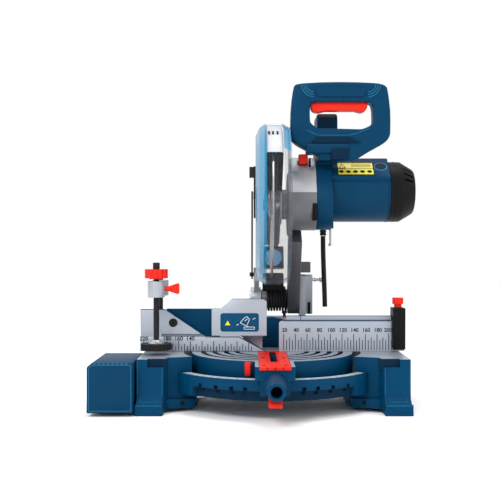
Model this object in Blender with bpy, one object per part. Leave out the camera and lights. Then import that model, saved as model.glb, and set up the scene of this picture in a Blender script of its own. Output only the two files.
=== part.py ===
"""Bench-top compound mitre saw, modelled in Blender 4.5 as separate pieces.

Metres, +Z up, -Y towards the operator, +X to the operator's right.  The pieces are drawn in the saw's own
frame: x = 0 is the upright blade's plane, y = 0 is the working face of the fence and z = 0 is the bench.
The whole machine hangs on one empty, which centres it over the origin.
"""

import math

import bmesh
import bpy
from mathutils import Matrix, Vector

GAP = 0.0003                # between two pieces that rest on each other
RUNNING_GAP = 0.0005        # between two pieces that slide or turn

# Base
TABLE_TOP = 0.088
BASE_HALF_WIDTH = 0.220
POST_HALF_WIDTH = 0.218
POST_INNER = 0.176
WING_INNER = 0.125
WING_ARC = 0.151
POST_FRONT = -0.110
FOOT_FRONT = -0.123
WING_BACK = 0.095
FOOT_BACK = 0.110
FOOT_HEIGHT = 0.017
LEG_BOTTOM = 0.006
BASE_WALL = 0.006
RING_INNER = 0.160
RING_OUTER = 0.174
RING_TOP = 0.065
RING_BOTTOM = 0.031
FLOOR_THICKNESS = 0.010
BACK_FLOOR_RADIUS = 0.104
SCALE_THICKNESS = 0.0012
FOOT_HOLE = 0.0045

# Turntable
TABLE_RADIUS = 0.137
TABLE_BOTTOM = 0.052
TABLE_SKIN = 0.010
ARM_HALF_WIDTH = 0.030
ARM_FRONT = -0.200
ARM_BOTTOM = 0.067
NOSE_HALF_WIDTH = 0.022
NOSE_BACK = -0.178
NOSE_BOTTOM = 0.044
KNOB_FRONT = -0.270
KERF_HALF_WIDTH = 0.024
KERF_PLATE = 0.003
KERF_BACK = 0.012
SLOT_HALF_WIDTH = 0.0055
SLOT_FRONT = -0.138
SLOT_BACK = 0.008
TROUGH_HALF_WIDTH = 0.020
TROUGH_FLOOR = 0.063
HOUSING_RADIUS = 0.052
HOUSING_FRONT = 0.084
HOUSING_BACK = 0.112

# Fence
FENCE_LEFT = -0.226
FENCE_RIGHT = 0.227
FENCE_THICKNESS = 0.013
LOW_FENCE = 0.113
LEFT_FENCE_TOP = 0.160
SET_BACK = 0.0064
TONGUE_BACK = 0.0108
TONGUE_TOP = 0.1162
RIGHT_FENCE_TOP = 0.141
RIGHT_FENCE_INNER = 0.010
STOP_LEFT = 0.206
REAR_BAR_TOP = 0.1485
REAR_BAR_BACK = 0.018
SLIDING_TOP = 0.1777
SLIDING_RIGHT = -0.0074
BOW_INNER = 0.068
BOW_OUTER = 0.080
BOW_TOP = 0.103
CLAMP_SCREW = (-0.170, 0.1366)      # x and z
RAIL_FRONT = FENCE_THICKNESS + 0.0004
RAIL_BACK = 0.017

# Bevel and chop pivots, blade and motor axes
BRACKET_RADIUS = 0.044
CHOP_Y = 0.140
CHOP_Z = 0.171
SHAFT_RADIUS = 0.008
DEPTH_STOP = (0.026, 0.124)         # x and y
ARBOR_Y = 0.0213
ARBOR_Z = 0.341
MOTOR_Y = 0.056
MOTOR_Z = 0.365
LINK_Y = 0.114
LINK_Z = 0.217
LINK_PIN_RADIUS = 0.030
LINK_PIN_ANGLE = 152.0
LEVER_BACK = 0.184

# Blade, guards and gear train
BLADE_RADIUS = 0.1275
BLADE_HALF_THICKNESS = 0.0012
BLADE_TEETH = 60
ARBOR_RADIUS = 0.0075
FLANGE_RADIUS = 0.024
GUARD_RADIUS = 0.140
GUARD_LEFT = -0.028
GUARD_RIGHT = 0.0305
GUARD_WALL = 0.002
GUARD_START = 85.0
GUARD_SWEEP = 200.0
UPPER_GUARD_RADIUS = 0.135
UPPER_GUARD_LEFT = -0.012
UPPER_GUARD_RIGHT = 0.017
UPPER_GUARD_START = -31.0
UPPER_GUARD_END = 144.0
GEAR_TEETH = 37
PINION_TEETH = 9
GEAR_LEFT = 0.042
GEAR_WIDTH = 0.012

# Head castings
HOUSING_LEFT = 0.032
HOUSING_RIGHT = 0.076
HOUSING_LOW_RADIUS = 0.045
HOUSING_HIGH_RADIUS = 0.061
HOUSING_WALL = 0.006
FLANGE_RIGHT = 0.103
FLANGE_INSET = 0.0008               # the flange's edge stands back from the housing's
MOTOR_RADIUS = 0.053
MOTOR_WALL = 0.0055
MOTOR_RIGHT = 0.205
CAP_RIGHT = 0.250
ARM_LEFT = 0.032
ARM_RIGHT = 0.0535
STATOR_LEFT = 0.115
STATOR_LENGTH = 0.050

# Handle
HANDLE_HALF_DEPTH = 0.017
HANDLE_WALL = 0.0035
CORD_RADIUS = 0.00435

# Vise and extension
VISE_X = -0.194
VISE_POST_Y = 0.026
VISE_SPINDLE_Y = -0.040
VISE_ROD_RADIUS = 0.0047
PAD_RADIUS = 0.026
VISE_ARM_RADIUS = 0.0143
EXTENSION_LEFT = -0.294
EXTENSION_FRONT = -0.130
EXTENSION_BACK = 0.005
ROD_RADIUS = 0.004
ROD_Z = 0.020
ROD_PLACES = (-0.055, -0.015)

HANDLE_OUTLINE = (
    (0.037, 0.540), (0.050, 0.545), (0.082, 0.547), (0.114, 0.5475), (0.147, 0.547), (0.181, 0.545),
    (0.195, 0.538), (0.2005, 0.500), (0.2005, 0.459), (0.193, 0.446), (0.165, 0.430), (0.137, 0.414),
    (0.098, 0.414), (0.060, 0.432), (0.033, 0.450), (0.032, 0.500),
)
HANDLE_WINDOW = (
    (0.066, 0.512), (0.076, 0.5135), (0.092, 0.5135), (0.114, 0.5135), (0.138, 0.5135), (0.160, 0.5135),
    (0.169, 0.511), (0.1715, 0.500), (0.1715, 0.479), (0.164, 0.472), (0.152, 0.4675), (0.137, 0.4675),
    (0.098, 0.4685), (0.077, 0.4695), (0.065, 0.479), (0.064, 0.500),
)
HANDLE_SCREWS = ((0.0549, 0.5165), (0.1779, 0.5155), (0.0487, 0.4527), (0.1834, 0.4556))
CORD_ROUTE = (
    (0.0950, 0.090, 0.2875), (0.0950, 0.090, 0.275), (0.0953, 0.090, 0.255), (0.0959, 0.0901, 0.235),
    (0.0966, 0.0903, 0.215), (0.0974, 0.0905, 0.195), (0.0980, 0.0906, 0.175), (0.0984, 0.0907, 0.159),
)

AXES = {"X": Matrix.Rotation(math.pi / 2, 4, "Y"), "Y": Matrix.Rotation(-math.pi / 2, 4, "X"),
        "Z": Matrix.Identity(4)}


# ---------------------------------------------------------------- solids

def place(axis, a, b, along):
    """Point from two coordinates across an axis, in X-Y-Z order, and one along it."""
    if axis == "X":
        return Vector((along, a, b))
    if axis == "Y":
        return Vector((a, along, b))
    return Vector((a, b, along))


def block(x0, x1, y0, y1, z0, z1):
    """Rectangular block between two corners."""
    solid = bmesh.new()
    bmesh.ops.create_cube(solid, size=1.0)
    size = Vector((x1 - x0, y1 - y0, z1 - z0))
    centre = Vector((x0 + x1, y0 + y1, z0 + z1)) / 2
    placing = Matrix.Translation(centre) @ Matrix.Diagonal((*size, 1.0))
    bmesh.ops.transform(solid, verts=solid.verts, matrix=placing)
    return solid


def prism(axis, outline, start, end):
    """Outline across an axis, extruded along it."""
    solid = bmesh.new()
    face = solid.faces.new([solid.verts.new(place(axis, a, b, start)) for a, b in outline])
    moved = bmesh.ops.extrude_face_region(solid, geom=[face])["geom"]
    moved_verts = [item for item in moved if isinstance(item, bmesh.types.BMVert)]
    bmesh.ops.translate(solid, verts=moved_verts, vec=place(axis, 0, 0, end - start))
    bmesh.ops.recalc_face_normals(solid, faces=solid.faces)
    return solid


def rod(axis, centre, radius, start, end, sides=20, end_radius=None):
    """Cylinder, or cone with end_radius, along an axis."""
    solid = bmesh.new()
    far_radius = radius if end_radius is None else end_radius
    bmesh.ops.create_cone(solid, cap_ends=True, segments=sides, radius1=radius, radius2=far_radius,
                          depth=end - start)
    middle = place(axis, centre[0], centre[1], (start + end) / 2)
    bmesh.ops.transform(solid, verts=solid.verts, matrix=Matrix.Translation(middle) @ AXES[axis])
    return solid


def slanted_rod(start, end, radius, sides=20):
    """Cylinder between two points."""
    solid = bmesh.new()
    way = end - start
    bmesh.ops.create_cone(solid, cap_ends=True, segments=sides, radius1=radius, radius2=radius,
                          depth=way.length)
    turn = way.to_track_quat("Z", "Y").to_matrix().to_4x4()
    bmesh.ops.transform(solid, verts=solid.verts, matrix=Matrix.Translation((start + end) / 2) @ turn)
    return solid


def turned(profile, centre, start=0.0, sweep=360.0, steps=32):
    """Closed profile of (radius, x) points turned about an X axis through centre (y, z)."""
    solid = bmesh.new()
    pivot = Vector((0, centre[0], centre[1]))
    first = Vector((0, math.cos(math.radians(start)), math.sin(math.radians(start))))
    corners = [solid.verts.new(pivot + first * r + Vector((x, 0, 0))) for r, x in profile]
    whole = sweep >= 360.0
    if whole:
        outline = [solid.edges.new((corners[i - 1], corners[i])) for i in range(len(corners))]
    else:
        face = solid.faces.new(corners)
        outline = [face, *face.edges]
    bmesh.ops.spin(solid, geom=[*outline, *corners], cent=pivot, axis=Vector((1, 0, 0)),
                   angle=math.radians(sweep), steps=steps, use_merge=whole)
    bmesh.ops.recalc_face_normals(solid, faces=solid.faces)
    return solid


def ring(axis, centre, inner, outer, start, end, sides=24):
    """Flat ring or sleeve along an axis."""
    whole = rod(axis, centre, outer, start, end, sides)
    return cut(whole, rod(axis, centre, inner, start - 0.01, end + 0.01, sides))


def arc(centre, radius, first, last, steps):
    """Points on an arc, angles in degrees."""
    angles = [math.radians(first + (last - first) * i / steps) for i in range(steps + 1)]
    return [(centre[0] + radius * math.cos(a), centre[1] + radius * math.sin(a)) for a in angles]


def two_circle_hull(low, low_radius, high, high_radius, steps=10):
    """Outline drawn tight around two circles."""
    dy, dz = high[0] - low[0], high[1] - low[1]
    heading = math.degrees(math.atan2(dz, dy))
    lean = math.degrees(math.acos((low_radius - high_radius) / math.hypot(dy, dz)))
    return (arc(high, high_radius, heading - lean, heading + lean, steps)
            + arc(low, low_radius, heading + lean, heading + 360 - lean, steps))


def boolean(first, second, operation):
    """One solid joined with, or cut by, another."""
    objects = []
    for solid in (first, second):
        mesh = bpy.data.meshes.new("operand")
        solid.to_mesh(mesh)
        solid.free()
        operand = bpy.data.objects.new("operand", mesh)
        bpy.context.scene.collection.objects.link(operand)
        objects.append(operand)
    modifier = objects[0].modifiers.new("boolean", "BOOLEAN")
    modifier.operation = operation
    modifier.solver = "EXACT"
    modifier.object = objects[1]
    result = bmesh.new()
    result.from_object(objects[0], bpy.context.evaluated_depsgraph_get())
    for operand in objects:
        mesh = operand.data
        bpy.data.objects.remove(operand, do_unlink=True)
        bpy.data.meshes.remove(mesh)
    return result


def cut(solid, *tools):
    for tool in tools:
        solid = boolean(solid, tool, "DIFFERENCE")
    return solid


def join(solid, *others):
    for other in others:
        solid = boolean(solid, other, "UNION")
    return solid


def mirrored(solid):
    """Copy of a solid on the other side of the blade's plane."""
    twin = solid.copy()
    bmesh.ops.scale(twin, verts=twin.verts, vec=(-1, 1, 1))
    bmesh.ops.reverse_faces(twin, faces=twin.faces)
    return twin


def gear_outline(centre, teeth, module, backlash, phase):
    """Involute gear teeth around a centre, with pressure angle 20 degrees."""
    pitch = module * teeth / 2
    base = pitch * math.cos(math.radians(20))
    outer = pitch + 0.9 * module
    root = pitch - 1.15 * module

    def roll(radius):
        ratio = max(1.0, radius / base)
        return math.sqrt(ratio * ratio - 1) - math.acos(1 / ratio)

    half_tooth = math.pi / (2 * teeth) - backlash / (2 * pitch) + roll(pitch)
    points = []
    for tooth in range(teeth):
        middle = phase + 2 * math.pi * tooth / teeth
        flank = [max(base, root), pitch, outer]
        sides = [(root, half_tooth)] if root < base else []
        sides += [(radius, half_tooth - roll(radius)) for radius in flank]
        for radius, half in sides:
            points.append((radius, middle - half))
        for radius, half in reversed(sides):
            points.append((radius, middle + half))
    return [(centre[0] + r * math.cos(a), centre[1] + r * math.sin(a)) for r, a in points]


# ---------------------------------------------------------------- scene

def clear_scene():
    for item in list(bpy.data.objects):
        bpy.data.objects.remove(item, do_unlink=True)


def empty(name, place_in_machine, parent=None):
    """Joint axis or carrier that pieces hang on."""
    holder = bpy.data.objects.new(name, None)
    bpy.context.scene.collection.objects.link(holder)
    holder["place"] = tuple(place_in_machine)
    if parent is None:
        holder.location = place_in_machine
        holder["place"] = (0.0, 0.0, 0.0)
    else:
        holder.parent = parent
        holder.location = Vector(place_in_machine) - Vector(parent["place"])
    return holder


def paint(name, colour, roughness, metallic):
    material = bpy.data.materials.get(name)
    if material is None:
        material = bpy.data.materials.new(name)
        material.use_nodes = True
        shader = material.node_tree.nodes["Principled BSDF"]
        shader.inputs["Base Color"].default_value = (*colour, 1.0)
        shader.inputs["Roughness"].default_value = roughness
        shader.inputs["Metallic"].default_value = metallic
    return material


FINISHES = {
    "blue": ("blue_paint", (0.0, 0.075, 0.19), 0.40, 0.0),
    "silver": ("machined_aluminium", (0.42, 0.46, 0.52), 0.35, 0.8),
    "red": ("red_plastic", (0.75, 0.035, 0.02), 0.40, 0.0),
    "black": ("black_plastic", (0.012, 0.011, 0.012), 0.45, 0.0),
    "steel": ("zinc_steel", (0.55, 0.56, 0.58), 0.30, 1.0),
    "dark": ("dark_casting", (0.07, 0.07, 0.08), 0.45, 0.4),
    "rubber": ("black_rubber", (0.01, 0.01, 0.01), 0.80, 0.0),
    "clear": ("tinted_clear", (0.05, 0.35, 0.55), 0.15, 0.0),
    "copper": ("copper_winding", (0.45, 0.16, 0.06), 0.40, 0.8),
}


def piece(name, solid, holder, look):
    """Named object of one piece, hung on its joint's empty."""
    bmesh.ops.translate(solid, verts=solid.verts, vec=-Vector(holder["place"]))
    mesh = bpy.data.meshes.new(name)
    solid.to_mesh(mesh)
    solid.free()
    mesh.shade_smooth()
    mesh.set_sharp_from_angle(angle=math.radians(32))
    mesh.materials.append(paint(*FINISHES[look]))
    thing = bpy.data.objects.new(name, mesh)
    bpy.context.scene.collection.objects.link(thing)
    thing.parent = holder
    return thing


# ---------------------------------------------------------------- base

def base_wing():
    """Right-hand wing: post, leg and foot, hollow from below."""
    outline = [(WING_INNER, -0.069), (0.170, -0.086), (POST_INNER, POST_FRONT), (POST_HALF_WIDTH, POST_FRONT),
               (POST_HALF_WIDTH, WING_BACK), (0.150, WING_BACK), (WING_INNER, 0.060)]
    wing = prism("Z", outline, LEG_BOTTOM, TABLE_TOP)
    foot = block(POST_INNER, BASE_HALF_WIDTH, FOOT_FRONT, FOOT_BACK, 0, FOOT_HEIGHT)
    arc_cut = rod("Z", (0, 0), WING_ARC, RING_TOP - 0.020, TABLE_TOP + 0.01, 56)
    notch = block(0.170, 0.201, POST_FRONT - 0.01, POST_FRONT + 0.010, 0.075, TABLE_TOP + 0.01)
    hollow_outline = [(0.160, -0.072), (0.183, -0.080), (0.183, POST_FRONT + BASE_WALL),
                      (POST_HALF_WIDTH - BASE_WALL, POST_FRONT + BASE_WALL),
                      (POST_HALF_WIDTH - BASE_WALL, WING_BACK - BASE_WALL), (0.160, WING_BACK - BASE_WALL)]
    hollow = prism("Z", hollow_outline, -0.01, TABLE_TOP - 0.008)
    wing = cut(join(wing, foot), arc_cut, notch, hollow)
    for hole_y in (FOOT_FRONT + 0.0065, FOOT_BACK - 0.0065):
        wing = cut(wing, rod("Z", (0.198, hole_y), FOOT_HOLE, -0.01, FOOT_HEIGHT + 0.01, 16))
    return wing


def base_casting():
    """Blue aluminium base: two wings, the quadrant for the mitre stops, and a floor with the pivot hub."""
    floor_top = RING_BOTTOM + FLOOR_THICKNESS
    quadrant = cut(rod("Z", (0, 0), RING_OUTER, RING_BOTTOM, RING_TOP - SCALE_THICKNESS, 64),
                   rod("Z", (0, 0), RING_INNER, floor_top, RING_TOP + 0.01, 56),
                   block(-0.2, 0.2, 0, 0.2, floor_top, RING_TOP + 0.01),
                   block(-0.2, 0.2, 0.03, 0.2, 0, floor_top + 0.01))
    back_floor = cut(rod("Z", (0, 0), BACK_FLOOR_RADIUS, RING_BOTTOM, floor_top, 40),
                     block(-0.2, 0.2, -0.2, 0.01, 0, 0.1))
    hub = rod("Z", (0, 0), 0.028, 0.020, TABLE_BOTTOM - GAP, 20)
    right = base_wing()
    left = mirrored(right)
    for rod_y in ROD_PLACES:
        left = cut(left, rod("X", (rod_y, ROD_Z), ROD_RADIUS + RUNNING_GAP, -0.24, -0.10, 16))
    boss = rod("Z", (VISE_X, VISE_POST_Y), 0.010, 0.055, TABLE_TOP - 0.004, 20)
    casting = join(quadrant, back_floor, hub, right, left, boss)
    vise_bore = rod("Z", (VISE_X, VISE_POST_Y), VISE_ROD_RADIUS + RUNNING_GAP, 0.060, TABLE_TOP + 0.01, 20)
    pivot_bore = rod("Z", (0, 0), 0.0065, 0.01, 0.07, 20)
    return cut(casting, vise_bore, pivot_bore)


def mitre_scale():
    """Silver strip riveted on the quadrant's ledge."""
    outline = arc((0, 0), RING_OUTER - 0.001, 213, 327, 32) + arc((0, 0), RING_INNER + 0.001, 327, 213, 32)
    return prism("Z", outline, RING_TOP - SCALE_THICKNESS + GAP, RING_TOP)


def mitre_pivot_bolt():
    shank = rod("Z", (0, 0), 0.0060, 0.012, 0.0597, 20)
    return join(shank, rod("Z", (0, 0), 0.010, 0.009, 0.0197, 6))


def inner_end_wedges():
    """Tools that bevel the fences' inner ends, so that a turned blade passes between them."""
    lean = math.tan(math.radians(50))
    depth = 0.05
    left_outline = [(SLIDING_RIGHT, -0.001), (0.05, -0.001), (0.05, depth),
                    (SLIDING_RIGHT - depth * lean, depth)]
    right_outline = [(RIGHT_FENCE_INNER, -0.001), (RIGHT_FENCE_INNER + depth * lean, depth), (-0.05, depth),
                     (-0.05, -0.001)]
    left = prism("Z", left_outline, 0, 0.3)
    right = prism("Z", right_outline, 0, 0.3)
    return left, right


def fence_casting():
    """One-piece fixed fence: low left side with a set-back plate, ruled right side, and a bow behind."""
    bottom = TABLE_TOP + GAP
    left_wedge, right_wedge = inner_end_wedges()
    low_outline = [(FENCE_LEFT, bottom), (-0.012, bottom), (-0.056, LOW_FENCE), (FENCE_LEFT, LOW_FENCE)]
    low_left = prism("Y", low_outline, 0, FENCE_THICKNESS)
    raised_outline = [(FENCE_LEFT, bottom), (-0.114, bottom), (-0.114, LOW_FENCE), (-0.184, LEFT_FENCE_TOP),
                      (FENCE_LEFT, LEFT_FENCE_TOP)]
    raised_left = prism("Y", raised_outline, SET_BACK, FENCE_THICKNESS)
    corner = arc((RIGHT_FENCE_INNER + 0.009, RIGHT_FENCE_TOP - 0.009), 0.009, 180, 90, 4)
    right_face = prism("Y", [(FENCE_RIGHT, bottom), (FENCE_RIGHT, RIGHT_FENCE_TOP), *reversed(corner),
                             (RIGHT_FENCE_INNER, bottom)], 0, FENCE_THICKNESS)
    rear_bar = block(RIGHT_FENCE_INNER + 0.007, STOP_LEFT, FENCE_THICKNESS - 0.002, REAR_BAR_BACK,
                     bottom, REAR_BAR_TOP)
    slot_wall = block(FENCE_LEFT, -0.064, TONGUE_BACK + GAP, 0.0165, bottom, LOW_FENCE - 0.001)
    left = join(cut(low_left, left_wedge), raised_left, slot_wall, fence_shoe(-1))
    right = join(cut(join(right_face, rear_bar), right_wedge), fence_shoe(1))
    bow = prism("Z", arc((0, 0), BOW_OUTER, 7, 173, 20) + arc((0, 0), BOW_INNER, 173, 7, 20), bottom, BOW_TOP)
    tongue_slot = block(-0.190, 0.0, SET_BACK - 0.0004, TONGUE_BACK + GAP, 0.08, TONGUE_TOP + GAP)
    stop_relief = block(STOP_LEFT - 0.0015, 0.24, -0.01, GAP, 0.08, 0.2)
    fence = cut(join(left, bow, right), tongue_slot, stop_relief)
    head_hole = rod("Y", CLAMP_SCREW, 0.0073, 0.0, 0.0101, 20)
    return cut(fence, head_hole, rod("Y", CLAMP_SCREW, 0.0035, 0.0, 0.03, 16))


def fence_shoe(side):
    """Foot behind the fence that bolts down on the wing; the left one clears the vise post."""
    near, far = sorted((side * 0.158, side * 0.212))
    bottom = TABLE_TOP + GAP
    shoe = block(near, far, FENCE_THICKNESS - 0.002, 0.046, bottom, bottom + 0.010)
    if side < 0:
        shoe = cut(shoe, rod("Z", (VISE_X, VISE_POST_Y), VISE_ROD_RADIUS + 0.0033, 0.05, 0.2, 20))
    return cut(shoe, rod("Z", (side * 0.170, 0.036), 0.0036, 0.05, 0.2, 16))


def fence_clamp_screw():
    """Black socket screw that clamps the sliding fence."""
    return join(rod("Y", CLAMP_SCREW, 0.007, SET_BACK + 0.0004, 0.0098, 20),
                rod("Y", CLAMP_SCREW, 0.0032, 0.009, FENCE_THICKNESS - 0.0002, 12))


def sliding_fence():
    """Upper left fence: silver face plate with a tongue in the fixed fence's slot and a blue rail behind."""
    face = prism("Y", [(-0.1037, 0.1147), (-0.1037, 0.1606), (-0.0884, 0.1610), (-0.0684, SLIDING_TOP),
                       (-0.0135, SLIDING_TOP), (SLIDING_RIGHT, 0.1722), (SLIDING_RIGHT, 0.1147)], 0, 0.0060)
    tongue = prism("Y", [(-0.0562, TONGUE_TOP), (-0.0562, 0.1147), (-0.0112, 0.0890), (SLIDING_RIGHT, 0.0890),
                         (SLIDING_RIGHT, TONGUE_TOP)], SET_BACK, TONGUE_BACK)
    ledge = block(-0.0555, -0.0080, 0.0040, SET_BACK + 0.001, 0.1136, TONGUE_TOP - GAP)
    rail_outline = [(-0.182, 0.118), (-0.030, 0.118), (-0.030, 0.1606), (-0.182, 0.1606)]
    rail = prism("Y", rail_outline, RAIL_FRONT, RAIL_BACK)
    bridge = prism("Y", [(-0.086, 0.1606), (-0.0684, SLIDING_TOP), (-0.030, SLIDING_TOP), (-0.030, 0.1606)],
                   0.003, RAIL_BACK)
    left_wedge, right_wedge = inner_end_wedges()
    right_wedge.free()
    return cut(join(face, ledge, tongue, join(rail, bridge)), left_wedge)


def length_stop():
    """Black stop block that rides over the right fence's end."""
    front = -0.012
    body = block(STOP_LEFT, FENCE_RIGHT, front, 0.022, 0.093, 0.163)
    saddle = block(0.20, 0.235, -GAP, REAR_BAR_BACK + GAP, 0.08, REAR_BAR_TOP + GAP)
    back_relief = block(0.20, 0.235, 0.01, 0.03, 0.08, 0.105)
    screw_bore = rod("Z", (0.2165, 0.005), 0.0034, REAR_BAR_TOP + 0.001, 0.17, 16)
    return cut(body, saddle, back_relief, screw_bore)


def stop_knob():
    """Red stepped thumb screw of the length stop."""
    centre = (0.2165, 0.005)
    shank = rod("Z", centre, 0.003, 0.1525, 0.165, 16)
    collar = rod("Z", centre, 0.0065, 0.1633, 0.170, 12)
    return join(shank, collar, rod("Z", centre, 0.0095, 0.1695, 0.180, 12))


def extension_table():
    """Pull-out support on the left: a blue box, open below, with a chamfered outer edge."""
    right = -BASE_HALF_WIDTH - 0.0015
    top = 0.085
    outline = [(EXTENSION_LEFT, LEG_BOTTOM), (right, LEG_BOTTOM), (right, top), (EXTENSION_LEFT + 0.008, top),
               (EXTENSION_LEFT, top - 0.007)]
    inner = [(EXTENSION_LEFT + 0.005, -0.01), (right - 0.005, -0.01), (right - 0.005, top - 0.005),
             (EXTENSION_LEFT + 0.010, top - 0.005), (EXTENSION_LEFT + 0.005, top - 0.010)]
    box = cut(prism("Y", outline, EXTENSION_FRONT, EXTENSION_BACK),
              prism("Y", inner, EXTENSION_FRONT + 0.005, EXTENSION_BACK - 0.005))
    for rod_y in ROD_PLACES:
        box = cut(box, rod("X", (rod_y, ROD_Z), ROD_RADIUS + GAP, right - 0.02, right + 0.02, 16))
    return box


def extension_rod():
    """One rod bent to a U: both legs slide in the base, the cross part is held in the extension."""
    legs = [rod("X", (rod_y, ROD_Z), ROD_RADIUS, EXTENSION_LEFT + 0.012, -0.110, 16) for rod_y in ROD_PLACES]
    cross = rod("Y", (EXTENSION_LEFT + 0.018, ROD_Z), ROD_RADIUS * 0.9, ROD_PLACES[0], ROD_PLACES[1], 12)
    return join(legs[0], cross, legs[1])


# ---------------------------------------------------------------- vise

def vise_post():
    return rod("Z", (VISE_X, VISE_POST_Y), VISE_ROD_RADIUS, 0.0605, 0.214, 20)


def vise_arm():
    """Silver arm: clamps on the post behind the fence and carries the spindle in front of it."""
    low, high = 0.183, 0.210
    front = rod("Z", (VISE_X, VISE_SPINDLE_Y), VISE_ARM_RADIUS, low, high, 24)
    back = rod("Z", (VISE_X, VISE_POST_Y), VISE_ARM_RADIUS, low, high, 24)
    bar = block(VISE_X - 0.009, VISE_X + 0.009, VISE_SPINDLE_Y, VISE_POST_Y, low + 0.003, high - 0.003)
    arm = join(bar, front, back)
    arm = cut(arm, rod("Z", (VISE_X, VISE_SPINDLE_Y), VISE_ROD_RADIUS + RUNNING_GAP, 0.15, 0.25, 20),
              rod("Z", (VISE_X, VISE_POST_Y), VISE_ROD_RADIUS + GAP, 0.15, 0.25, 20))
    return cut(arm, rod("X", (VISE_SPINDLE_Y, 0.1975), 0.0034, VISE_X + 0.0065, VISE_X + 0.03, 16))


def vise_wing_screw():
    """Red butterfly screw that locks the spindle."""
    centre = (VISE_SPINDLE_Y, 0.1975)
    start = VISE_X + VISE_ARM_RADIUS + GAP
    shank = rod("X", centre, 0.003, VISE_X + 0.0068, start + 0.004, 16)
    hub = rod("X", centre, 0.0042, start, start + 0.010, 16)
    wing = prism("Y", [(start + 0.006, 0.1935), (start + 0.022, 0.1880), (start + 0.024, 0.1915),
                       (start + 0.024, 0.2045), (start + 0.022, 0.2070), (start + 0.006, 0.2015)],
                 VISE_SPINDLE_Y - 0.0025, VISE_SPINDLE_Y + 0.0025)
    return join(shank, hub, wing)


def vise_spindle():
    return rod("Z", (VISE_X, VISE_SPINDLE_Y), VISE_ROD_RADIUS, 0.1125, 0.241, 20)


def vise_knob():
    """Red fluted knob fixed on the spindle above the arm."""
    outline = []
    flutes = 12
    for i in range(flutes * 4):
        radius = 0.0192 if i % 4 in (0, 1) else 0.0172
        angle = 2 * math.pi * i / (flutes * 4)
        outline.append((VISE_X + radius * math.cos(angle), VISE_SPINDLE_Y + radius * math.sin(angle)))
    knob = prism("Z", outline, 0.2135, 0.230)
    return cut(knob, rod("Z", (VISE_X, VISE_SPINDLE_Y), VISE_ROD_RADIUS + GAP, 0.2, 0.25, 20))


def vise_swivel():
    return rod("Z", (VISE_X, VISE_SPINDLE_Y), 0.0135, 0.1063, 0.1122, 24, end_radius=0.0060)


def vise_pad():
    """Ribbed black pad that presses the work down."""
    teeth = 24
    outline = []
    for i in range(teeth * 2):
        radius = PAD_RADIUS - (0.0009 if i % 2 else 0)
        angle = math.pi * i / teeth
        outline.append((VISE_X + radius * math.cos(angle), VISE_SPINDLE_Y + radius * math.sin(angle)))
    return prism("Z", outline, 0.096, 0.106)


# ---------------------------------------------------------------- turntable

def turntable_casting():
    """Rotating table: ribbed disc, front arm with the lock's nose, blade trough and the bevel housing."""
    disc = rod("Z", (0, 0), TABLE_RADIUS, TABLE_BOTTOM, TABLE_TOP, 72)
    hollow = cut(rod("Z", (0, 0), TABLE_RADIUS - 0.008, TABLE_BOTTOM - 0.01, TABLE_TOP - TABLE_SKIN, 36),
                 block(-ARM_HALF_WIDTH, ARM_HALF_WIDTH, -0.2, 0.2, 0, 0.1),
                 block(-0.2, 0.2, 0.070, 0.2, 0, 0.1))
    arm = block(-ARM_HALF_WIDTH, ARM_HALF_WIDTH, ARM_FRONT, -0.12, ARM_BOTTOM, TABLE_TOP)
    nose = block(-NOSE_HALF_WIDTH, NOSE_HALF_WIDTH, ARM_FRONT, NOSE_BACK, NOSE_BOTTOM, TABLE_TOP - 0.001)
    flat_back = block(-0.2, 0.2, HOUSING_BACK, 0.2, 0, 0.2)
    table = join(cut(disc, hollow, flat_back), arm, nose)
    low = math.degrees(math.asin((TABLE_TOP - TABLE_BOTTOM - 0.002) / HOUSING_RADIUS))
    housing_outline = arc((0, TABLE_TOP), HOUSING_RADIUS, -low, 180 + low, 28)
    housing = prism("Y", housing_outline, HOUSING_FRONT, HOUSING_BACK)
    table = join(table, housing)
    recess = block(-KERF_HALF_WIDTH - GAP, KERF_HALF_WIDTH + GAP, ARM_FRONT - 0.01, KERF_BACK + GAP,
                   TABLE_TOP - KERF_PLATE - GAP, TABLE_TOP + 0.01)
    trough = block(-TROUGH_HALF_WIDTH, TROUGH_HALF_WIDTH, -0.140, KERF_BACK - 0.002, TROUGH_FLOOR, TABLE_TOP)
    bevel_bore = rod("Y", (0, TABLE_TOP), SHAFT_RADIUS + GAP, HOUSING_FRONT + 0.006, HOUSING_BACK + 0.01, 20)
    pivot_bore = rod("Z", (0, 0), 0.0063, TABLE_BOTTOM - 0.01, 0.060, 20)
    lock_bore = rod("Y", (0, 0.061), 0.0048, ARM_FRONT - 0.01, NOSE_BACK - 0.006, 20)
    lever_slot = block(-0.0105, 0.0105, ARM_FRONT - 0.01, NOSE_BACK + 0.01,
                       NOSE_BOTTOM - 0.01, NOSE_BOTTOM + 0.003)
    under_fence = block(-0.2, 0.2, -0.0008, HOUSING_FRONT - 0.0005, TABLE_TOP - GAP, TABLE_TOP + 0.002)
    table = cut(table, recess, under_fence, trough, bevel_bore, pivot_bore, lock_bore, lever_slot)
    return table


def kerf_plate():
    """Red insert level with the table, slotted for the blade."""
    half = KERF_HALF_WIDTH
    plate = block(-half, half, ARM_FRONT - 0.0007, KERF_BACK, TABLE_TOP - KERF_PLATE, TABLE_TOP)
    lip = block(-half, half, ARM_FRONT - 0.0024, ARM_FRONT - GAP, TABLE_TOP - 0.005, TABLE_TOP)
    plate = join(plate, lip)
    return cut(plate, block(-SLOT_HALF_WIDTH, SLOT_HALF_WIDTH, SLOT_FRONT, SLOT_BACK, 0.05, 0.1))


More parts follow.
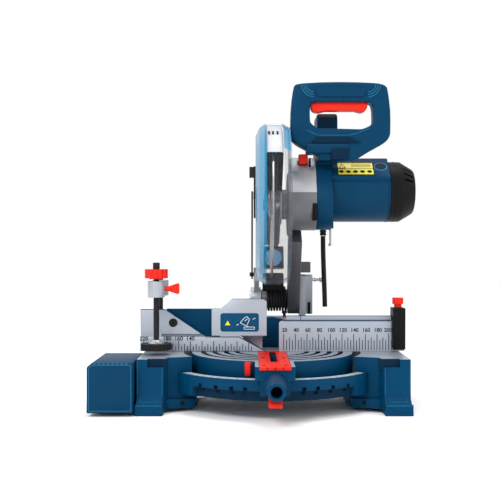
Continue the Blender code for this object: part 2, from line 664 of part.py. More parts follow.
def angle_pointer():
    """Red pointer clipped to the table's wall, hanging over the scale."""
    place_angle = math.radians(253.5)
    centre = Vector((math.cos(place_angle), math.sin(place_angle), 0)) * (TABLE_RADIUS + 0.0053)
    tab = block(-0.0045, 0.0045, -0.0045, 0.0045, RING_TOP + 0.0012, TABLE_TOP - 0.001)
    turn = Matrix.Rotation(place_angle + math.pi / 2, 3, "Z")
    bmesh.ops.rotate(tab, verts=tab.verts, cent=(0, 0, 0), matrix=turn)
    bmesh.ops.translate(tab, verts=tab.verts, vec=centre)
    return tab


def mitre_lock_knob():
    """Hollow tapered grip on a threaded rod that clamps the table to the quadrant."""
    centre = (0, 0.061)
    back = ARM_FRONT - 0.0035
    grip = rod("Y", centre, 0.0130, KNOB_FRONT, back, 32, end_radius=0.0180)
    grip = cut(grip, rod("Y", centre, 0.0085, KNOB_FRONT - 0.01, -0.215, 24))
    return join(grip, rod("Y", centre, 0.0043, back - 0.005, NOSE_BACK - 0.0065, 16))


def detent_lever():
    """Red lever under the nose that lifts the detent out of its notch."""
    outline = [(-0.222, 0.030), (-0.222, 0.036), (-0.216, 0.0390), (-0.205, 0.0415), (-0.1995, 0.0455),
               (-0.181, 0.0455), (-0.181, 0.041), (-0.205, 0.034), (-0.215, 0.030)]
    return prism("X", outline, -0.010, 0.010)


# ---------------------------------------------------------------- tilt bracket

def tilt_bracket():
    """Casting that tilts on the bevel bolt and carries the chop pivot between two ears."""
    face = rod("Y", (0, TABLE_TOP), BRACKET_RADIUS, HOUSING_BACK + GAP, 0.127, 28)
    body = block(-0.036, 0.065, 0.118, 0.160, TABLE_TOP + 0.0025, 0.138)
    bolt_boss = rod("Y", (0, TABLE_TOP), 0.022, 0.118, 0.1597, 28)
    left_ear = join(rod("X", (CHOP_Y, CHOP_Z), 0.0215, -0.036, -0.0175, 28),
                    block(-0.036, -0.0175, 0.120, 0.160, 0.130, CHOP_Z))
    link_post = block(-0.0310, -0.0200, LINK_Y - 0.006, LINK_Y + 0.010, 0.204, 0.2295)
    link_stem = prism("X", [(LINK_Y - 0.004, 0.206), (LINK_Y + 0.010, 0.206), (0.150, 0.180), (0.128, 0.172)],
                      -0.0300, -0.0210)
    ear_outline = [(0.118, 0.130), (0.162, 0.130), (0.162, 0.200), *arc((CHOP_Y, CHOP_Z), 0.0455, 61, 119, 8),
                   (0.118, 0.200)]
    right_ear = prism("X", ear_outline, 0.0540, 0.0650)
    plate_top = arc((CHOP_Y, CHOP_Z), 0.0452, 75, 105, 5)
    plate_outline = [(0.128, 0.143), (0.152, 0.143), (0.152, 0.206), *plate_top, (0.128, 0.206)]
    plate = prism("X", plate_outline, 0.0640, 0.0785)
    bracket = join(face, body, bolt_boss, left_ear, link_stem, link_post, right_ear, plate)
    shaft_bore = rod("X", (CHOP_Y, CHOP_Z), SHAFT_RADIUS + GAP, -0.05, 0.0700, 24)
    pin_bore = rod("X", (CHOP_Y, 0.207), 0.0038, 0.04, 0.09, 16)
    bolt_bore = rod("Y", (0, TABLE_TOP), SHAFT_RADIUS + GAP, 0.10, 0.17, 20)
    stop_bore = rod("Z", DEPTH_STOP, 0.0031, 0.126, 0.16, 12)
    link_bore = rod("X", (LINK_Y, LINK_Z), 0.0042, -0.04, -0.022, 16)
    return cut(bracket, shaft_bore, pin_bore, bolt_bore, stop_bore, link_bore)


def bevel_pivot_bolt():
    return join(rod("Y", (0, TABLE_TOP), SHAFT_RADIUS, HOUSING_FRONT + 0.0065, 0.172, 20),
                rod("Y", (0, TABLE_TOP), 0.0135, 0.1603, 0.166, 6))


def bevel_lock_lever():
    """Rear clamping lever on the bevel bolt's end."""
    hub = rod("Y", (0, TABLE_TOP), 0.0125, 0.1664, LEVER_BACK, 20)
    handle = prism("Y", [(0.002, 0.080), (0.050, 0.112), (0.053, 0.120), (0.046, 0.124), (-0.004, 0.097)],
                   0.1700, 0.1820)
    lever = join(hub, handle)
    return cut(lever, rod("Y", (0, TABLE_TOP), SHAFT_RADIUS + GAP, 0.15, 0.1725, 20))


def depth_stop_screw():
    """Screw with a hexagon head that sets how deep the head comes down."""
    shank = rod("Z", DEPTH_STOP, 0.0028, 0.1265, 0.146, 12)
    return join(shank, rod("Z", DEPTH_STOP, 0.0055, 0.1445, 0.1495, 6))


def chop_pivot_shaft():
    return rod("X", (CHOP_Y, CHOP_Z), SHAFT_RADIUS, -0.0395, 0.0695, 24)


def lock_pin():
    """Pull-out pin that holds the head down for carrying."""
    pin = rod("X", (CHOP_Y, 0.207), 0.0035, 0.0545, 0.098, 16)
    head = rod("X", (CHOP_Y, 0.207), 0.0060, 0.0925, 0.104, 16)
    return join(pin, head, rod("X", (CHOP_Y, 0.207), 0.0050, 0.0820, 0.0850, 16))


def return_spring():
    """Torsion spring around the arm's barrel that lifts the head."""
    wire, mean, turns, start, end = 0.0023, 0.0214, 7, -0.008, 0.029
    steps_per_turn, wire_sides = 12, 5
    total = turns * steps_per_turn
    solid = bmesh.new()
    loops = []
    for i in range(total + 1):
        angle = 2 * math.pi * i / steps_per_turn - math.pi / 2
        x = start + (end - start) * i / total
        out = Vector((0, math.cos(angle), math.sin(angle)))
        centre = Vector((x, CHOP_Y, CHOP_Z)) + out * mean
        loop = []
        for j in range(wire_sides):
            turn = 2 * math.pi * j / wire_sides
            spoke = out * math.cos(turn) + Vector((1, 0, 0)) * math.sin(turn)
            loop.append(solid.verts.new(centre + spoke * wire))
        loops.append(loop)
    for near, far in zip(loops, loops[1:]):
        for j in range(wire_sides):
            solid.faces.new((near[j], near[j - 1], far[j - 1], far[j]))
    solid.faces.new(loops[0])
    solid.faces.new(reversed(loops[-1]))
    bmesh.ops.recalc_face_normals(solid, faces=solid.faces)
    return solid


def link_end():
    """Where the link meets the guard's pin, in the saw's side view."""
    angle = math.radians(LINK_PIN_ANGLE)
    return (ARBOR_Y + LINK_PIN_RADIUS * math.cos(angle), ARBOR_Z + LINK_PIN_RADIUS * math.sin(angle))


def guard_link():
    """Black strap that swings the lower guard open as the head comes down."""
    far = link_end()
    middle = ((LINK_Y + far[0]) / 2 + 0.006, (LINK_Z + far[1]) / 2 + 0.004)
    heading = math.atan2(far[1] - LINK_Z, far[0] - LINK_Y)
    side = (math.cos(heading + math.pi / 2), math.sin(heading + math.pi / 2))
    half = 0.0055
    degrees = math.degrees(heading)
    outline = (arc((LINK_Y, LINK_Z), 0.0085, degrees + 90, degrees + 270, 8)
               + [(middle[0] - side[0] * half, middle[1] - side[1] * half)]
               + arc(far, 0.0075, degrees - 90, degrees + 90, 8)
               + [(middle[0] + side[0] * half, middle[1] + side[1] * half)])
    strap = prism("X", outline, -0.0355, -0.0325)
    pin = rod("X", (LINK_Y, LINK_Z), 0.0038, -0.0385, -0.0225, 16)
    return join(strap, pin)


# ---------------------------------------------------------------- head

def saw_arm():
    """Arm from the chop pivot to the gear housing, with its barrel on the shaft and the stop lug."""
    pivot = Vector((CHOP_Y, CHOP_Z))
    way = (Vector((ARBOR_Y, ARBOR_Z)) - pivot).normalized()
    rear = Vector((way.y, -way.x))
    root = math.degrees(math.atan2(way.y, way.x))
    top = pivot + way * 0.150
    outline = arc((CHOP_Y, CHOP_Z), 0.028, root + 90, root + 270, 14)
    outline += [tuple(top + rear * 0.030), tuple(top - rear * 0.032)]
    blade_side = prism("X", outline, ARM_LEFT, ARM_RIGHT)
    barrel = rod("X", (CHOP_Y, CHOP_Z), 0.0175, -0.0170, ARM_RIGHT - 0.001, 28)
    lug = block(ARM_RIGHT - 0.004, 0.075, 0.128, 0.150, 0.2200, 0.240)
    lug_root = block(ARM_LEFT + 0.002, ARM_RIGHT - 0.002, 0.110, 0.150, 0.205, 0.240)
    shaft_bore = rod("X", (CHOP_Y, CHOP_Z), SHAFT_RADIUS + GAP, -0.03, 0.06, 24)
    arm = cut(join(blade_side, barrel, lug_root, lug), shaft_bore)
    return cut(arm, prism("X", grown_hull(GAP), HOUSING_LEFT - 0.01, HOUSING_RIGHT))


def grown_hull(extra):
    return two_circle_hull((ARBOR_Y, ARBOR_Z), HOUSING_LOW_RADIUS + extra, (MOTOR_Y, MOTOR_Z),
                           HOUSING_HIGH_RADIUS + extra)


def gear_housing():
    """Casting around the gear pair, with the neck that carries the blade's spindle."""
    shell = prism("X", grown_hull(0), HOUSING_LEFT, HOUSING_RIGHT)
    neck = rod("X", (ARBOR_Y, ARBOR_Z), 0.026, UPPER_GUARD_RIGHT + GAP, HOUSING_LEFT + 0.002, 32)
    guard_seat = rod("X", (ARBOR_Y, ARBOR_Z), 0.0545, 0.0268, HOUSING_LEFT + 0.002, 32)
    cavity = prism("X", grown_hull(-HOUSING_WALL), HOUSING_LEFT + HOUSING_WALL, HOUSING_RIGHT + 0.01)
    bearing_seat = rod("X", (ARBOR_Y, ARBOR_Z), 0.0163, 0.0197, HOUSING_LEFT + 0.01, 32)
    spindle_bore = rod("X", (ARBOR_Y, ARBOR_Z), 0.0105, 0.01, 0.05, 24)
    button_pocket = block(0.0455, 0.0625, -0.02, 0.0290, 0.4095, 0.4300)
    button_bore = rod("Y", (0.054, 0.4165), 0.0034, 0.02, 0.045, 16)
    return cut(join(shell, neck, guard_seat), cavity, bearing_seat, spindle_bore, button_pocket, button_bore)


def spindle_lock_button():
    """Red push button; its stem stops the spindle for blade changes."""
    stem = rod("Y", (0.054, 0.4165), 0.0030, 0.022, 0.0360, 16)
    return join(block(0.0462, 0.0618, 0.004, 0.0228, 0.4102, 0.4268), stem)


def upper_guard():
    """Fixed silver blade cover, open towards the blade."""
    left, right, wall = UPPER_GUARD_LEFT, UPPER_GUARD_RIGHT, 0.0025
    outer = UPPER_GUARD_RADIUS
    profile = [(0.0285, left), (outer - 0.004, left), (outer, left + 0.004), (outer, right - 0.004),
               (outer - 0.004, right), (0.0285, right), (0.0285, right - wall),
               (outer - 0.0045, right - wall),
               (outer - wall, right - 0.0045), (outer - wall, left + 0.0045), (outer - 0.0045, left + wall),
               (0.0285, left + wall)]
    shell = turned(profile, (ARBOR_Y, ARBOR_Z), UPPER_GUARD_START, UPPER_GUARD_END - UPPER_GUARD_START, 22)
    seat = ring("X", (ARBOR_Y, ARBOR_Z), 0.0265, 0.034, right - wall - GAP, right - GAP, 20)
    return join(shell, seat)


def dust_port():
    """Black chute behind the blade with its round outlet."""
    left, right = UPPER_GUARD_LEFT, 0.0245
    outer = [(0.1100, 0.2300), (0.1355, 0.2260), (0.1355, 0.2690), (0.1270, 0.2670)]
    inner = [(0.1000, 0.2340), (0.1325, 0.2293), (0.1325, 0.2655), (0.1100, 0.2640)]
    chute = cut(prism("X", outer, left, right), prism("X", inner, left + 0.0025, right - 0.0025),
                turned([(0.05, -0.03), (0.1292, -0.03), (0.1292, 0.04), (0.05, 0.04)],
                       (ARBOR_Y, ARBOR_Z), 0, 360, 48))
    tube = rod("Y", (0.00625, 0.2475), 0.0178, 0.1335, 0.168, 32)
    bore = rod("Y", (0.00625, 0.2475), 0.0155, 0.12, 0.18, 32)
    return cut(join(chute, tube), bore)


def laser_module():
    """Line laser behind the upper guard, aimed at the cut."""
    return block(-0.0035, 0.0155, 0.1500, 0.168, 0.2657, 0.2815)


def motor_housing():
    """Blue motor casing: flange that closes the gear housing, saddle for the handles, and the barrel."""
    left = HOUSING_RIGHT + GAP
    flange = prism("X", grown_hull(-FLANGE_INSET), left, FLANGE_RIGHT)
    barrel = rod("X", (MOTOR_Y, MOTOR_Z), MOTOR_RADIUS, FLANGE_RIGHT - 0.004, MOTOR_RIGHT, 32)
    saddle = block(0.0785, FLANGE_RIGHT - 0.001, HANDLE_HALF_DEPTH + GAP, 0.110, 0.395, 0.4400)
    key_clip = block(0.100, 0.1095, 0.042, 0.056, 0.300, 0.318)
    housing = join(flange, barrel, saddle, key_clip)
    inside = rod("X", (MOTOR_Y, MOTOR_Z), MOTOR_RADIUS - MOTOR_WALL, 0.0940, MOTOR_RIGHT + 0.01, 28)
    spindle_seat = rod("X", (ARBOR_Y, ARBOR_Z), 0.0163, left - 0.01, 0.0865, 32)
    shaft_bore = rod("X", (MOTOR_Y, MOTOR_Z), 0.0095, left - 0.01, 0.10, 24)
    bearing_seat = rod("X", (MOTOR_Y, MOTOR_Z), 0.0133, 0.0805, 0.10, 32)
    key_bore = rod("Z", (0.1048, 0.049), 0.0028, 0.29, 0.3105, 12)
    housing = cut(housing, inside, spindle_seat, shaft_bore, bearing_seat, key_bore)
    return cut(housing, slanted_rod(*brush_line(1, 0.030, 0.070), 0.0102))


def brush_line(side, near, far):
    """Start and end of a brush holder's axis, measured from the motor's axis."""
    out = Vector((0, -0.643, 0.766)) * side
    middle = Vector((0.189, MOTOR_Y, MOTOR_Z))
    return middle + out * near, middle + out * far


def brush_cap():
    """Screwed cap over a carbon brush."""
    return slanted_rod(*brush_line(1, 0.0440, 0.0545), 0.0098)


def motor_end_cap():
    """Black vented cap with the rear bearing's seat."""
    left = MOTOR_RIGHT + GAP
    profile = [(0.0112, left + 0.022), (0.0475, left + 0.012), (0.0475, left), (MOTOR_RADIUS, left),
               (MOTOR_RADIUS, 0.226), (0.0370, CAP_RIGHT), (0.0030, CAP_RIGHT), (0.0030, 0.2375),
               (0.0112, 0.2375)]
    return turned(profile, (MOTOR_Y, MOTOR_Z), 0, 360, 28)


def stator():
    """Laminated field ring with its winding heads."""
    centre = (MOTOR_Y, MOTOR_Z)
    return ring("X", centre, 0.0298, 0.0470, STATOR_LEFT, STATOR_LEFT + STATOR_LENGTH, 24)


def armature():
    """Motor shaft with core, commutator and the pinion cut on its end."""
    centre = (MOTOR_Y, MOTOR_Z)
    shaft = rod("X", centre, 0.0050, 0.050, 0.2350, 16)
    core = rod("X", centre, 0.0285, STATOR_LEFT + 0.003, STATOR_LEFT + STATOR_LENGTH - 0.003, 20)
    commutator = rod("X", centre, 0.0130, 0.1780, 0.1980, 24)
    pinion = prism("X", gear_outline(centre, PINION_TEETH, gear_module(), gear_backlash(), pinion_phase()),
                   GEAR_LEFT - 0.001, GEAR_LEFT + GEAR_WIDTH + 0.001)
    return join(shaft, core, commutator, pinion)


def cooling_fan():
    outline = []
    vanes = 12
    for i in range(vanes * 4):
        radius = 0.0435 if i % 4 < 2 else 0.026
        angle = 2 * math.pi * i / (vanes * 4)
        outline.append((MOTOR_Y + radius * math.cos(angle), MOTOR_Z + radius * math.sin(angle)))
    return cut(prism("X", outline, 0.0965, 0.1085), rod("X", (MOTOR_Y, MOTOR_Z), 0.0053, 0.09, 0.12, 16))


def ball_bearing(centre, bore, outer, start, end):
    """Ball bearing as a plain sleeve."""
    return ring("X", centre, bore, outer, start, end, 24)


def gear_module():
    return 2 * math.hypot(MOTOR_Y - ARBOR_Y, MOTOR_Z - ARBOR_Z) / (GEAR_TEETH + PINION_TEETH)


def gear_backlash():
    return 0.16 * gear_module()


def mesh_heading():
    return math.atan2(MOTOR_Z - ARBOR_Z, MOTOR_Y - ARBOR_Y)


def pinion_phase():
    """A space of the pinion faces the tooth of the gear that points at it."""
    return mesh_heading() + math.pi + math.pi / PINION_TEETH


def spindle():
    bar = rod("X", (ARBOR_Y, ARBOR_Z), ARBOR_RADIUS, -0.0086, 0.0855, 24)
    return cut(bar, rod("X", (ARBOR_Y, ARBOR_Z), 0.0043, -0.02, 0.010, 16))


def spindle_gear():
    outline = gear_outline((ARBOR_Y, ARBOR_Z), GEAR_TEETH, gear_module(), gear_backlash(), mesh_heading())
    return cut(prism("X", outline, GEAR_LEFT, GEAR_LEFT + GEAR_WIDTH),
               rod("X", (ARBOR_Y, ARBOR_Z), ARBOR_RADIUS + GAP, 0, 0.1, 24))


def saw_blade():
    """Toothed disc on the arbor."""
    outline = []
    for i in range(BLADE_TEETH):
        for share, radius in ((0.0, BLADE_RADIUS), (0.15, BLADE_RADIUS - 0.006)):
            angle = -2 * math.pi * (i + share) / BLADE_TEETH
            outline.append((ARBOR_Y + radius * math.cos(angle), ARBOR_Z + radius * math.sin(angle)))
    disc = prism("X", outline, -BLADE_HALF_THICKNESS, BLADE_HALF_THICKNESS)
    return cut(disc, rod("X", (ARBOR_Y, ARBOR_Z), ARBOR_RADIUS + RUNNING_GAP, -0.01, 0.01, 24))


def inner_flange():
    return ring("X", (ARBOR_Y, ARBOR_Z), ARBOR_RADIUS + GAP, FLANGE_RADIUS,
                BLADE_HALF_THICKNESS + GAP, 0.0085, 24)


def outer_flange():
    return ring("X", (ARBOR_Y, ARBOR_Z), ARBOR_RADIUS + GAP, FLANGE_RADIUS - 0.002, -0.0083,
                -BLADE_HALF_THICKNESS - GAP, 24)


def arbor_bolt():
    centre = (ARBOR_Y, ARBOR_Z)
    return join(rod("X", centre, 0.0105, -0.0147, -0.0089, 6), rod("X", centre, 0.0040, -0.010, 0.008, 16))


def lower_guard():
    """Clear moulded cover that swings about the arbor: closed on the left, ring-shaped on the right."""
    left, right, outer, wall = GUARD_LEFT, GUARD_RIGHT, GUARD_RADIUS, GUARD_WALL
    profile = [(0.0170, left), (0.1180, left), (0.1320, -0.0220), (outer, -0.0110), (outer, 0.0180),
               (0.1325, right), (0.0570, right), (0.0570, right - wall), (0.1315, right - wall),
               (outer - wall, 0.0172), (outer - wall, -0.0102), (0.1305, -0.0204), (0.1172, left + wall),
               (0.0170, left + wall)]
    centre = (ARBOR_Y, ARBOR_Z)
    shell = turned(profile, centre, GUARD_START, GUARD_SWEEP, 32)
    hub = ring("X", centre, 0.0160, 0.0300, left + GAP, left + wall + GAP, 20)
    rim = ring("X", centre, 0.0560, 0.0660, right - wall - GAP, right - GAP, 32)
    return join(shell, hub, rim)


def guard_hub_plate():
    """Black plate over the guard's hub with the lever that the link works."""
    left = GUARD_LEFT - 0.0033
    plate = rod("X", (ARBOR_Y, ARBOR_Z), 0.0240, left, GUARD_LEFT - GAP, 32)
    lever_outline = [(0.0050, 0.3420), (0.0290, 0.3600), (0.0120, 0.3840), (-0.0040, 0.4040),
                     (-0.0185, 0.4040), (-0.0150, 0.3620)]
    lever = prism("X", lever_outline, left, GUARD_LEFT - GAP)
    far = link_end()
    pin = rod("X", far, 0.0060, left - 0.0005, GUARD_LEFT - GAP, 16)
    ear = block(left - 0.0075, left + 0.001, -0.0175, -0.0045, 0.3850, 0.4030)
    return join(plate, lever, pin, ear)


def handle_ring(front, back):
    """Solid between the handle's outline and its window."""
    solid = bmesh.new()
    outer = [solid.verts.new((x, front, z)) for x, z in HANDLE_OUTLINE]
    inner = [solid.verts.new((x, front, z)) for x, z in HANDLE_WINDOW]
    count = len(outer)
    faces = [solid.faces.new((outer[i - 1], outer[i], inner[i], inner[i - 1])) for i in range(count)]
    moved = bmesh.ops.extrude_face_region(solid, geom=faces)["geom"]
    verts = [item for item in moved if isinstance(item, bmesh.types.BMVert)]
    bmesh.ops.translate(solid, verts=verts, vec=(0, back - front, 0))
    bmesh.ops.recalc_face_normals(solid, faces=solid.faces)
    return solid


def handle_cavity(front, back):
    """Hollow inside the handle, one wall in from its outline and its window."""
    solid = bmesh.new()
    outer = [solid.verts.new((x, front, z)) for x, z in HANDLE_OUTLINE]
    inner = [solid.verts.new((x, front, z)) for x, z in HANDLE_WINDOW]
    count = len(outer)
    faces = [solid.faces.new((outer[i - 1], outer[i], inner[i], inner[i - 1])) for i in range(count)]
    made = bmesh.ops.inset_region(solid, faces=faces, thickness=HANDLE_WALL, use_even_offset=True,
                                  use_boundary=True)
    bmesh.ops.delete(solid, geom=made["faces"], context="FACES")
    kept = list(solid.faces)
    moved = bmesh.ops.extrude_face_region(solid, geom=kept)["geom"]
    verts = [item for item in moved if isinstance(item, bmesh.types.BMVert)]
    bmesh.ops.translate(solid, verts=verts, vec=(0, back - front, 0))
    bmesh.ops.recalc_face_normals(solid, faces=solid.faces)
    return solid


def handle_shell(side):
    """Half of the D handle; side is -1 for the front shell and 1 for the rear one."""
    split = side * GAP / 2
    face = side * HANDLE_HALF_DEPTH
    shell = handle_ring(split, face)
    shell = cut(shell, handle_cavity(split - side * 0.002, face - side * HANDLE_WALL))
    slot = block(0.0635, 0.1645, -0.0105, 0.0105, 0.505, 0.532)
    shell = cut(shell, slot)
    if side < 0:
        for place_xz in HANDLE_SCREWS:
            shell = cut(shell, rod("Y", place_xz, 0.0037, -0.03, -0.0005, 16))
    return shell


def trigger():
    """Red trigger bar under the grip."""
    outline = [(0.0660, 0.5128), (0.0660, 0.5030), (0.0700, 0.4980), (0.0780, 0.4965), (0.0900, 0.4995),
               (0.1400, 0.4995), (0.1520, 0.4965), (0.1580, 0.4985), (0.1625, 0.5050), (0.1625, 0.5128)]
    bar = prism("Y", outline, -0.0095, 0.0095)
    return join(bar, block(0.070, 0.158, -0.0085, 0.0085, 0.5120, 0.5180))


def switch():
    return block(0.095, 0.140, -0.0090, 0.0090, 0.5245, 0.5400)


def carry_handle():
    """Arched carrying handle standing on the saddle."""
    low, top = 0.4403, 0.502
    outer = [(0.033, low), (0.033, top - 0.010), (0.040, top), (0.103, top), (0.110, top - 0.010),
             (0.110, low)]
    gap = [(0.051, low - 0.01), (0.051, 0.474), (0.055, 0.478), (0.088, 0.478), (0.092, 0.474),
           (0.092, low - 0.01)]
    return cut(prism("X", outer, 0.0800, 0.1160), prism("X", gap, 0.07, 0.13))


def hex_key():
    """Spanner for the arbor bolt, parked in its clip under the motor."""
    long_leg = rod("Z", (0.1048, 0.049), 0.0024, 0.269, 0.3100, 6)
    return join(long_leg, block(0.1024, 0.1072, 0.049, 0.068, 0.2690, 0.2738))


def cord_gland():
    """Tapered strain relief under the motor flange."""
    centre = (0.0950, 0.090)
    body = rod("Z", centre, 0.0055, 0.2880, 0.3400, 20, end_radius=0.0066)
    return cut(body, prism("X", grown_hull(GAP - FLANGE_INSET), 0.05, 0.12))


def smooth_route(points, spacing):
    """Points read every so often from a smooth curve through the given ones."""
    padded = [points[0] * 2 - points[1], *points, points[-1] * 2 - points[-2]]
    fine = []
    for a, b, c, d in zip(padded, padded[1:], padded[2:], padded[3:]):
        steps = max(1, round((c - b).length / spacing))
        for i in range(steps):
            t = i / steps
            fine.append(0.5 * (2 * b + (c - a) * t + (2 * a - 5 * b + 4 * c - d) * t * t
                               + (3 * b - a - 3 * c + d) * t ** 3))
    return [*fine, points[-1]]


def power_cord(holder):
    """Lead that hangs from the strain relief."""
    curve = bpy.data.curves.new("power_cord", "CURVE")
    curve.dimensions = "3D"
    curve.bevel_depth = CORD_RADIUS
    curve.bevel_resolution = 2
    curve.use_fill_caps = True
    route = smooth_route([Vector(point) for point in CORD_ROUTE], 2.5 * CORD_RADIUS * 2)
    spline = curve.splines.new("POLY")
    spline.points.add(len(route) - 1)
    for point, spot in zip(spline.points, route):
        point.co = (*(spot - Vector(holder["place"])), 1.0)
    curve.materials.append(paint(*FINISHES["rubber"]))
    cord = bpy.data.objects.new("power_cord", curve)
    bpy.context.scene.collection.objects.link(cord)
    cord.parent = holder


# ---------------------------------------------------------------- assembly

def build():
    clear_scene()
    middle = ((EXTENSION_LEFT + CAP_RIGHT) / 2, (KNOB_FRONT + LEVER_BACK) / 2)
    machine = empty("machine", (-middle[0], -middle[1], 0))
    piece("base_casting", base_casting(), machine, "blue")
    piece("mitre_scale", mitre_scale(), machine, "silver")
    piece("mitre_pivot_bolt", mitre_pivot_bolt(), machine, "steel")
    piece("fence_casting", fence_casting(), machine, "silver")
    piece("fence_clamp_screw", fence_clamp_screw(), machine, "black")
    fence_slide = empty("fence_slide", (-0.055, 0.010, 0.14), machine)
    piece("sliding_fence", sliding_fence(), fence_slide, "silver")
    stop_slide = empty("stop_slide", (0.2165, 0.005, 0.128), machine)
    piece("length_stop", length_stop(), stop_slide, "black")
    stop_axis = empty("stop_knob_axis", (0.2165, 0.005, 0.165), stop_slide)
    piece("stop_knob", stop_knob(), stop_axis, "red")
    pull_out = empty("extension_slide", (-0.26, -0.0625, ROD_Z), machine)
    piece("extension_table", extension_table(), pull_out, "blue")
    piece("extension_rod", extension_rod(), pull_out, "steel")

    vise_swing = empty("vise_swing", (VISE_X, VISE_POST_Y, 0.19), machine)
    piece("vise_post", vise_post(), vise_swing, "black")
    piece("vise_arm", vise_arm(), vise_swing, "silver")
    wing_axis = empty("wing_screw_axis", (VISE_X, VISE_SPINDLE_Y, 0.1975), vise_swing)
    piece("vise_wing_screw", vise_wing_screw(), wing_axis, "red")
    screw_axis = empty("vise_spindle_axis", (VISE_X, VISE_SPINDLE_Y, 0.19), vise_swing)
    piece("vise_spindle", vise_spindle(), screw_axis, "black")
    piece("vise_knob", vise_knob(), screw_axis, "red")
    piece("vise_swivel", vise_swivel(), screw_axis, "steel")
    piece("vise_pad", vise_pad(), screw_axis, "rubber")

    mitre_axis = empty("mitre_axis", (0, 0, TABLE_TOP), machine)
    piece("turntable_casting", turntable_casting(), mitre_axis, "blue")
    piece("kerf_plate", kerf_plate(), mitre_axis, "red")
    piece("angle_pointer", angle_pointer(), mitre_axis, "red")
    knob_axis = empty("mitre_knob_axis", (0, ARM_FRONT, 0.061), mitre_axis)
    piece("mitre_lock_knob", mitre_lock_knob(), knob_axis, "blue")
    lever_axis = empty("detent_lever_axis", (0, -0.184, 0.0435), mitre_axis)
    piece("detent_lever", detent_lever(), lever_axis, "red")

    bevel_axis = empty("bevel_axis", (0, HOUSING_BACK, TABLE_TOP), mitre_axis)
    piece("tilt_bracket", tilt_bracket(), bevel_axis, "silver")
    piece("bevel_pivot_bolt", bevel_pivot_bolt(), bevel_axis, "steel")
    piece("depth_stop_screw", depth_stop_screw(), bevel_axis, "black")
    piece("chop_pivot_shaft", chop_pivot_shaft(), bevel_axis, "steel")
    piece("return_spring", return_spring(), bevel_axis, "black")
    lock_axis = empty("bevel_lock_axis", (0, 0.17, TABLE_TOP), bevel_axis)
    piece("bevel_lock_lever", bevel_lock_lever(), lock_axis, "black")
    pin_axis = empty("lock_pin_axis", (0.09, CHOP_Y, 0.207), bevel_axis)
    piece("lock_pin", lock_pin(), pin_axis, "steel")
    link_axis = empty("link_axis", (-0.034, LINK_Y, LINK_Z), bevel_axis)
    piece("guard_link", guard_link(), link_axis, "black")

    chop_axis = empty("chop_axis", (0, CHOP_Y, CHOP_Z), bevel_axis)
    piece("saw_arm", saw_arm(), chop_axis, "dark")
    piece("gear_housing", gear_housing(), chop_axis, "silver")
    piece("upper_guard", upper_guard(), chop_axis, "silver")
    piece("dust_port", dust_port(), chop_axis, "black")
    piece("laser_module", laser_module(), chop_axis, "black")
    piece("motor_housing", motor_housing(), chop_axis, "blue")
    piece("motor_end_cap", motor_end_cap(), chop_axis, "black")
    piece("brush_cap", brush_cap(), chop_axis, "black")
    piece("stator", stator(), chop_axis, "copper")
    arbor, motor = (ARBOR_Y, ARBOR_Z), (MOTOR_Y, MOTOR_Z)
    spindle_bearing = ball_bearing(arbor, ARBOR_RADIUS + GAP, 0.0160, 0.0200, 0.0290)
    piece("spindle_bearing", spindle_bearing, chop_axis, "steel")
    piece("armature_bearing", ball_bearing(motor, 0.0053, 0.0130, 0.0810, 0.0890), chop_axis, "steel")
    piece("handle_front_shell", handle_shell(-1), chop_axis, "blue")
    piece("handle_rear_shell", handle_shell(1), chop_axis, "blue")
    piece("switch", switch(), chop_axis, "black")
    piece("carry_handle", carry_handle(), chop_axis, "blue")
    piece("hex_key", hex_key(), chop_axis, "steel")
    piece("cord_gland", cord_gland(), chop_axis, "rubber")
    power_cord(chop_axis)
    trigger_slide = empty("trigger_slide", (0.114, 0, 0.5075), chop_axis)
    piece("trigger", trigger(), trigger_slide, "red")
    button_slide = empty("button_slide", (0.054, 0.013, 0.4165), chop_axis)
    piece("spindle_lock_button", spindle_lock_button(), button_slide, "red")

    guard_axis = empty("guard_axis", (0, ARBOR_Y, ARBOR_Z), chop_axis)
    piece("lower_guard", lower_guard(), guard_axis, "clear")
    piece("guard_hub_plate", guard_hub_plate(), guard_axis, "black")
    arbor_axis = empty("arbor_axis", (0, ARBOR_Y, ARBOR_Z), chop_axis)
    piece("saw_blade", saw_blade(), arbor_axis, "steel")
    piece("inner_flange", inner_flange(), arbor_axis, "steel")
    piece("outer_flange", outer_flange(), arbor_axis, "steel")
    piece("arbor_bolt", arbor_bolt(), arbor_axis, "steel")
    piece("spindle", spindle(), arbor_axis, "steel")
    piece("spindle_gear", spindle_gear(), arbor_axis, "steel")
    motor_axis = empty("motor_axis", (0, MOTOR_Y, MOTOR_Z), chop_axis)
    piece("armature", armature(), motor_axis, "steel")
    piece("cooling_fan", cooling_fan(), motor_axis, "black")


build()
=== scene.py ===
import math

import bmesh
import bpy
from mathutils import Matrix, Vector


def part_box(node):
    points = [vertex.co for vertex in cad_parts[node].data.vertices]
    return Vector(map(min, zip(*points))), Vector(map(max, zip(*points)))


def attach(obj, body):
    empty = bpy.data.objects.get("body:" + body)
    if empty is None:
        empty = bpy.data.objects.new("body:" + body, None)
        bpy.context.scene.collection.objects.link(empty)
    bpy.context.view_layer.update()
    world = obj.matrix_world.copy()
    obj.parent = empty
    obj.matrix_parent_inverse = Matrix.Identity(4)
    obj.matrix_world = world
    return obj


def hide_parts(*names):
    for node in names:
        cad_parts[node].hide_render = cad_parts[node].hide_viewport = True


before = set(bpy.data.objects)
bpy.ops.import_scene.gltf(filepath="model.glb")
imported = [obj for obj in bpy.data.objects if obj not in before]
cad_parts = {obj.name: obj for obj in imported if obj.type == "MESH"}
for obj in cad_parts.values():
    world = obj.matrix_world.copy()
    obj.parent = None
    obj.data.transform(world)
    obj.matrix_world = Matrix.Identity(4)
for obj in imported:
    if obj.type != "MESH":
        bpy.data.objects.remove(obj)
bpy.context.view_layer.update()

scene = bpy.context.scene
